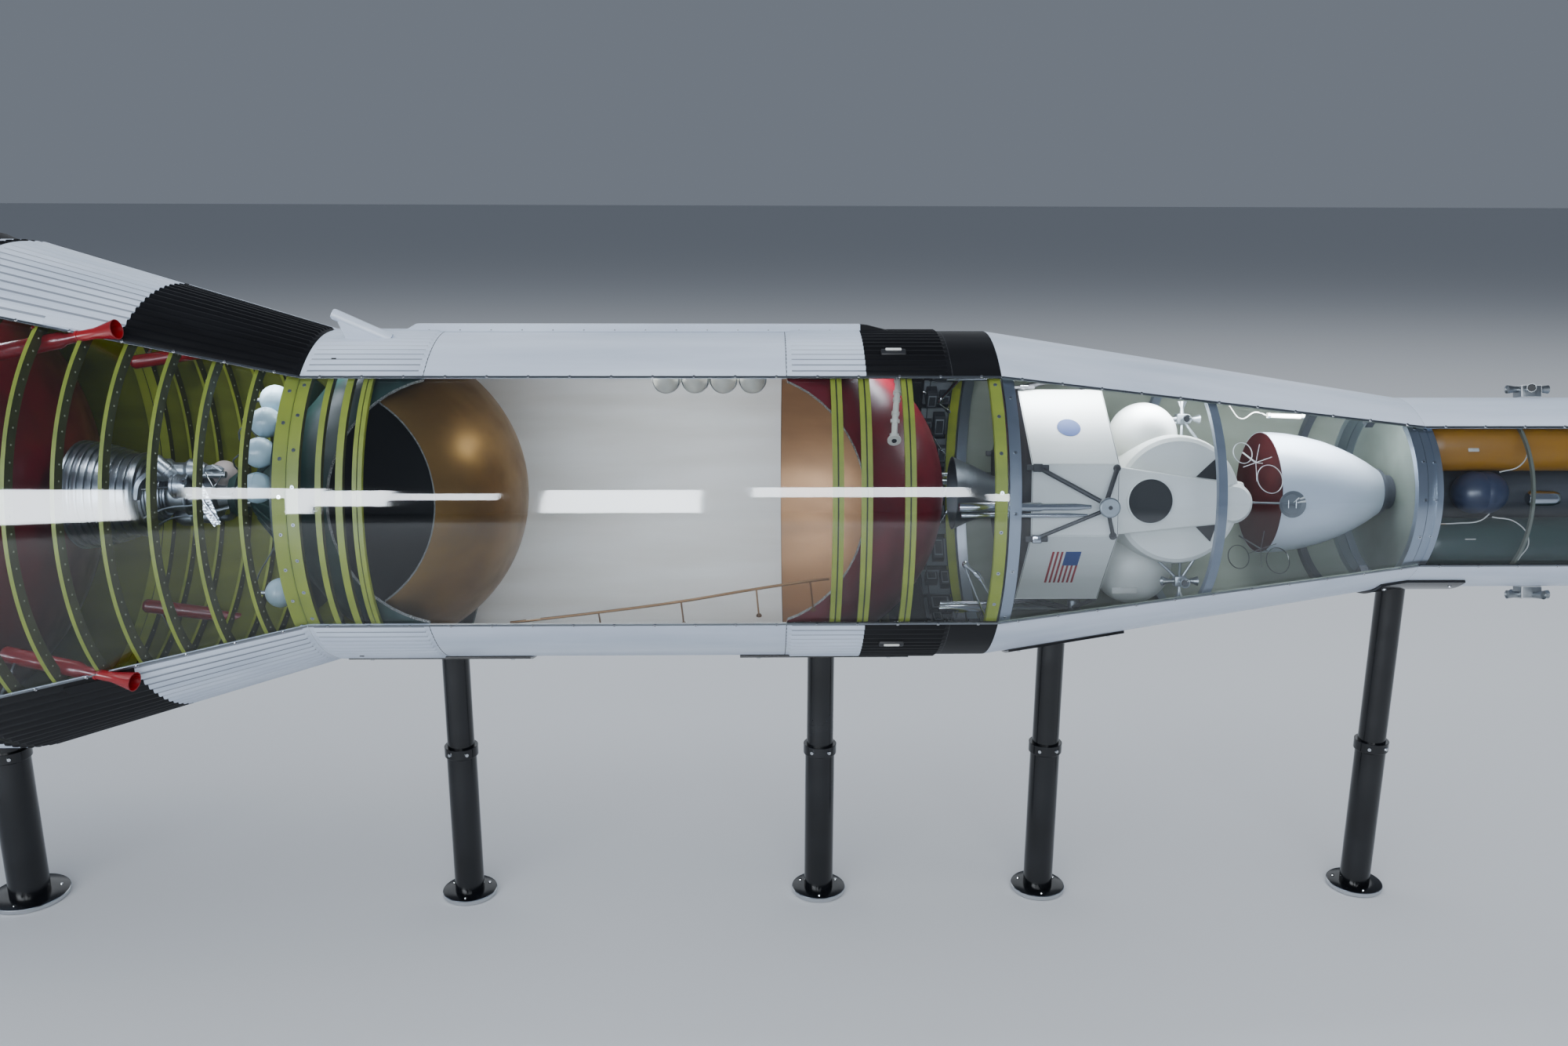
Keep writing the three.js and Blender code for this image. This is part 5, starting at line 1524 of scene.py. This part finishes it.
into_piece(bm, "aft_skirt_fairing", [white_enamel], ["aft_skirt_swept_fairing"])

# Small things on the skins: dark slots with pale lips in the black forward skirt, black blocks on the
# aft skirt, and the dark joints between the sections, where two sheets are bolted end to end.
bm = bmesh.new()
for station, degrees in [(3181, 66), (3181, -48), (3181, 156), (3181, 246)]:
    turn = wall_turn(degrees)
    block(bm, at(station, 131.2, degrees), (19, 3.4, 7.4), 0, turn, 1.2)
    block(bm, at(station, 133.3, degrees + 0.6), (12, 1.4, 2.4), 1, turn, 0.6)
for station, degrees in [(2768, 62), (2772, 116), (2772, -60)]:
    turn = wall_turn(degrees)
    block(bm, at(station, 131.6, degrees), (3.4, 0.8, 0.8), 0, turn)
for station in (602, 865, 1401, 1541, 1760, 1848, 2385, 2836, 3100.6, 3222.6):
    a, b = station - 0.35, station + 0.35
    outer, inner = body_radius(station) + 0.02, body_radius(station) - 0.4
    joint = [(a, outer), (b, outer), (b, inner), (a, inner)]
    lathe(bm, joint, 0, WINDOW_HIGH + 0.1, WINDOW_LOW + 359.9, 120)
into_piece(bm, "skin_slots_and_seams", [box_black, panel_white])

# The window's edges. A thin strip of bare metal lies on each edge of the clear panels, screwed down
# every 79 mm, with a clear block where a ring frame ends.
acrylic_block = clear_acrylic("acrylic_block")
SCREW_PITCH = 31
STRIP_NEAR, STRIP_FAR = 0.05, 1.9
BLOCK_STATIONS = (2751, 2770, 2785, 2797.5, 3136.7, 3157.3, 3188.5, 3253)


def in_window(edge, station, away):
    """The angle at a distance from an edge of the window, into it."""
    inward = 1 if edge == WINDOW_LOW else -1
    return edge + inward * math.degrees(away / body_radius(station))


bm = bmesh.new()
for edge in (WINDOW_LOW, WINDOW_HIGH):
    for (start, _), (end, _) in zip(BODY_LINE, BODY_LINE[1:]):
        points = []
        for station in (start + 0.3, end - 0.3):
            radius = body_radius(station)
            for away in (STRIP_NEAR, STRIP_FAR):
                turn = in_window(edge, station, away)
                points += [at(station, radius + 0.02, turn), at(station, radius + 0.5, turn)]
        slab(bm, points, 0)
        count = max(round((end - start) / SCREW_PITCH), 1)
        for i in range(count):
            station = start + (end - start) * (i + 0.5) / count
            radius = body_radius(station)
            turn = in_window(edge, station, 1.1)
            out = outward(turn)
            stud(bm, at(station, radius + 0.4, turn), out, 1.3, 0.9, 1, 10)
            stud(bm, at(station, radius + 1.3, turn), out, 0.45, 0.1, 2, 6)
    for station in BLOCK_STATIONS:
        degrees = in_window(edge, station, 5)
        turn = wall_turn(degrees)
        place = at(station, body_radius(station) - SKIN - 1.6, degrees)
        block(bm, place, (6, 2.6, 7), 3, turn, 0.4)
into_piece(
    bm,
    "window_edge_strips",
    [bell_steel, chrome, box_black, acrylic_block],
    sharp=20,
)

# The screws that show through the clear panels, with bright countersunk heads and dark slots: two rows
# on the joint rings, one on the ring unit's frame, and three on the adapter's aluminium rings.
# Columns: station, degrees between screws and the first one's angle.
SCREW_ROWS = [
    (2742.4, 12, 0),
    (2751.3, 12, 3),
    (3253.4, 12.8, 0),
    (3263.6, 20, 6),
    (3586.3, 22.5, 8.2),
    (3595.2, 22.5, 8.2),
]
bm = bmesh.new()
for station, step, start in SCREW_ROWS:
    for i in range(round(360 / step)):
        turn = start + i * step
        out = outward(turn)
        place = at(station, body_radius(station) - SKIN - 0.04, turn)
        stud(bm, place, out, 1.5, 0.3, 0, 14, 0.9)
        stud(bm, place + out * 0.28 * INCH, out, 0.6, 0.08, 1, 6)
into_piece(bm, "panel_screws", [chrome, box_black])

# The stand. Each post is a steel tube in gloss black that slides in a wider sleeve and is held by a
# collar with two set screws. It stands on a disc with a bright edge and carries a padded saddle.
gloss_black = sprayed("gloss_black_enamel", "#0B0C0F", "#15171B", 0.14)
saddle_felt = sprayed("black_felt", "#121214", "#1C1C1F", 0.85)
MM = 0.001
# Columns: CAD node, station, millimetres off the middle, tube, base and saddle length.
POSTS = [
    ("post_aft_left", 500, 250, 38, 90, 300),
    ("post_aft_right", 500, -250, 38, 90, 300),
    ("post_middle_left", 1270, 250, 38, 90, 300),
    ("post_middle_right", 1270, -250, 38, 90, 300),
    ("post_second_left", 1950, 250, 38, 90, 300),
    ("post_second_right", 1950, -250, 38, 90, 300),
    ("post_second_fore", 2449, 0, 38, 80, 320),
    ("post_third_aft", 2828, 0, 28.5, 59, 363),
    ("post_third_fore", 3132, 0, 28.5, 59, 340),
    ("post_adapter", 3325, 0, 28.5, 59, 237),
    ("post_service", 3607, 0, 28.5, 59, 174),
]
SADDLE_ARC = 130  # millimetres, from the middle of a saddle to its side
mm = MM / INCH


def level_way(turn):
    """A level direction by its angle from the nose."""
    return Vector((math.cos(math.radians(turn)), math.sin(math.radians(turn)), 0))


for node, station, off, tube, base, length in POSTS:
    bm = bmesh.new()
    reach = body_radius(station) * INCH / MM
    drop = math.sqrt(reach**2 - off**2)
    top = AXIS_HEIGHT / MM - drop - 0.5
    foot = Vector((at(station).x, off * MM, 0))
    up = Vector((0, 0, 1))
    disc = [(0, 0), (0, base - 1), (1, base), (9, base), (10, base - 1), (10.6, base - 2)]
    sleeve = [(10.6, tube + 3), (328, tube + 3), (329.4, tube + 2), (330, tube + 2)]
    collar = [(330, tube + 6.4), (330.8, tube + 7), (351.4, tube + 7), (352, tube + 6.4)]
    inner_tube = [(352, tube), (top, tube), (top, 0)]
    outline = [(d * mm, r * mm) for d, r in disc + sleeve + collar + inner_tube]
    for face in spun(bm, outline, foot, up, 0, 64):
        middle = face.calc_center_median() - foot
        if middle.z < 9.8 * MM and math.hypot(middle.x, middle.y) > (base - 1.6) * MM:
            face.material_index = 1
    for turn in (-60, -120):
        out = level_way(turn)
        spot = foot + up * 341 * MM + out * (tube + 6.8) * MM
        stud(bm, spot, out, 4.4 * mm, 3 * mm, 1, 12)
    for turn in (30, 150, 270):
        spot = foot + level_way(turn) * (base - (base - tube) * 0.45) * MM + up * 10.4 * MM
        stud(bm, spot, up, 3.6 * mm, 2 * mm, 1, 12)
    middle = math.degrees(math.atan2(-drop, -off))
    spread = math.degrees(SADDLE_ARC / reach)
    half = length / 2 * mm
    stations = [station - half, *[s for s, _ in BODY_LINE if abs(s - station) < half]]
    stations.append(station + half)
    for lift, thick, finish in [(0.3, 1.7, 2), (2.0, 4, 0)]:
        low_line = [(s, body_radius(s) + lift * mm) for s in stations]
        high_line = [(s, body_radius(s) + (lift + thick) * mm) for s in reversed(stations)]
        lathe(bm, low_line + high_line, finish, middle - spread, middle + spread, 24)
    for along in (-0.78, 0.78):
        for sign in (-0.8, 0.8):
            turn = middle + spread * sign
            s = station + half * along
            out = outward(turn)
            stud(bm, at(s, body_radius(s) + 5.9 * mm, turn), out, 4 * mm, 2.4 * mm, 1, 12)
    into_piece(bm, node + "_column", [gloss_black, chrome, saddle_felt], [node])

# The room: a pale matt floor, the camera where the photograph was taken, and soft lamps overhead, in
# front and behind. Two of the lamps are hidden from shiny surfaces.
floor_paint = bpy.data.materials.new("pale_floor")
floor_paint.use_nodes = True
floor_shader = floor_paint.node_tree.nodes["Principled BSDF"]
floor_shader.inputs["Base Color"].default_value = linear("#D2D3D5")
floor_shader.inputs["Roughness"].default_value = 0.8
floor_shader.inputs["Specular IOR Level"].default_value = 0.05
bm = bmesh.new()
bmesh.ops.create_grid(bm, size=300, matrix=Matrix.Translation((0, 0, -0.001)))
floor_mesh = bpy.data.meshes.new("floor")
bm.to_mesh(floor_mesh)
bm.free()
floor_mesh.materials.append(floor_paint)
floor = bpy.data.objects.new("floor", floor_mesh)
bpy.context.scene.collection.objects.link(floor)
floor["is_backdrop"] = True

CAMERA_STATION, CAMERA_AWAY, CAMERA_UP = 3077.6, 1010.8, 231.0
CAMERA_PITCH, CAMERA_YAW, CAMERA_ROLL = 14.2, 1.314, 0.19
camera_data = bpy.data.cameras.new("camera")
camera_data.lens = 29.4
camera_data.sensor_width = 36
camera = bpy.data.objects.new("camera", camera_data)
bpy.context.scene.collection.objects.link(camera)
camera.location = at(CAMERA_STATION) + Vector((0, -CAMERA_AWAY, CAMERA_UP)) * INCH
camera.rotation_mode = "QUATERNION"
aim = Matrix.Rotation(math.radians(-CAMERA_YAW), 4, "Z")
aim @= Matrix.Rotation(math.radians(90 - CAMERA_PITCH), 4, "X")
aim @= Matrix.Rotation(math.radians(CAMERA_ROLL), 4, "Z")
camera.rotation_quaternion = aim.to_quaternion()
bpy.context.scene.camera = camera

world = bpy.data.worlds.new("room")
world.use_nodes = True
world.node_tree.nodes["Background"].inputs["Color"].default_value = linear("#CCD8EA")
world.node_tree.nodes["Background"].inputs["Strength"].default_value = 0.27
bpy.context.scene.world = world


def lamp(name, place, aimed, width, height, watts):
    """A soft rectangular lamp."""
    lamp_data = bpy.data.lights.new(name, "AREA")
    lamp_data.shape = "RECTANGLE"
    lamp_data.size, lamp_data.size_y = width, height
    lamp_data.energy = watts
    lamp_data.color = (0.9, 0.95, 1.0)
    made = bpy.data.objects.new(name, lamp_data)
    made.location = place
    facing = Vector(aimed) - Vector(place)
    made.rotation_euler = facing.to_track_quat("-Z", "Y").to_euler()
    bpy.context.scene.collection.objects.link(made)
    return made


ceiling = lamp("ceiling_lamp", (0, 0, 8), (0, 0, 0), 32, 18, 2050)
ceiling.visible_glossy = False
lamp("back_lamp", (0.5, 6.0, 3.0), (0.5, 0, 1.0), 14, 3, 110)
front = lamp("front_lamp", (0, -8.0, 3.2), (0, 0, 0.9), 12, 3, 560)
front.visible_glossy = False

# Bright panels, seen only as reflections in the clear panels and in the metal. Columns: the middle
# along the room, the height of the middle, width, height and brightness.
GLEAMS = [
    (-2.65, 1.81, 4.9, 1.78, 34),
    (0.03, 1.98, 0.45, 1.1, 34),
    (0.6, 2.08, 0.68, 0.45, 26),
    (1.73, 1.74, 1.0, 1.6, 34),
    (3.26, 2.37, 1.4, 0.7, 26),
    (4.32, 1.95, 0.5, 0.5, 26),
]
for index, (along, high, wide, tall, bright) in enumerate(GLEAMS):
    gleam = lamp(
        f"gleam_{index + 1}",
        (along, -6.1, high),
        (along, 0, high),
        wide,
        tall,
        math.pi * wide * tall * bright,
    )
    gleam.visible_diffuse = False

# Lamp strips in the bays, close under the skin above the window, where they light the inside as the
# model's own lamps do. Columns: the stations of the ends, and watts for each metre.
BAYS = [
    (130, 320, 14),
    (375, 595, 14),
    (645, 820, 14),
    (880, 1390, 14),
    (1450, 1755, 14),
    (1856, 2376, 14),
    (2440, 2506, 10),
    (2640, 2738, 5),
    (2757, 2788, 7),
    (2960, 3092, 9),
    (3155, 3216, 7),
    (3270, 3370, 5.5),
    (3370, 3470, 5.5),
    (3470, 3575, 5.5),
    (3601, 3742, 4),
]
for start, end, strength in BAYS:
    under = min(body_radius(start), body_radius(end)) - 9
    middle = (start + end) / 2
    length = (end - start) * INCH
    strip = lamp(
        f"bay_lamp_{start}",
        at(middle, under, 72),
        at(middle, under, 235),
        length,
        0.03,
        strength * length,
    )
    strip.visible_camera = False

low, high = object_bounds()
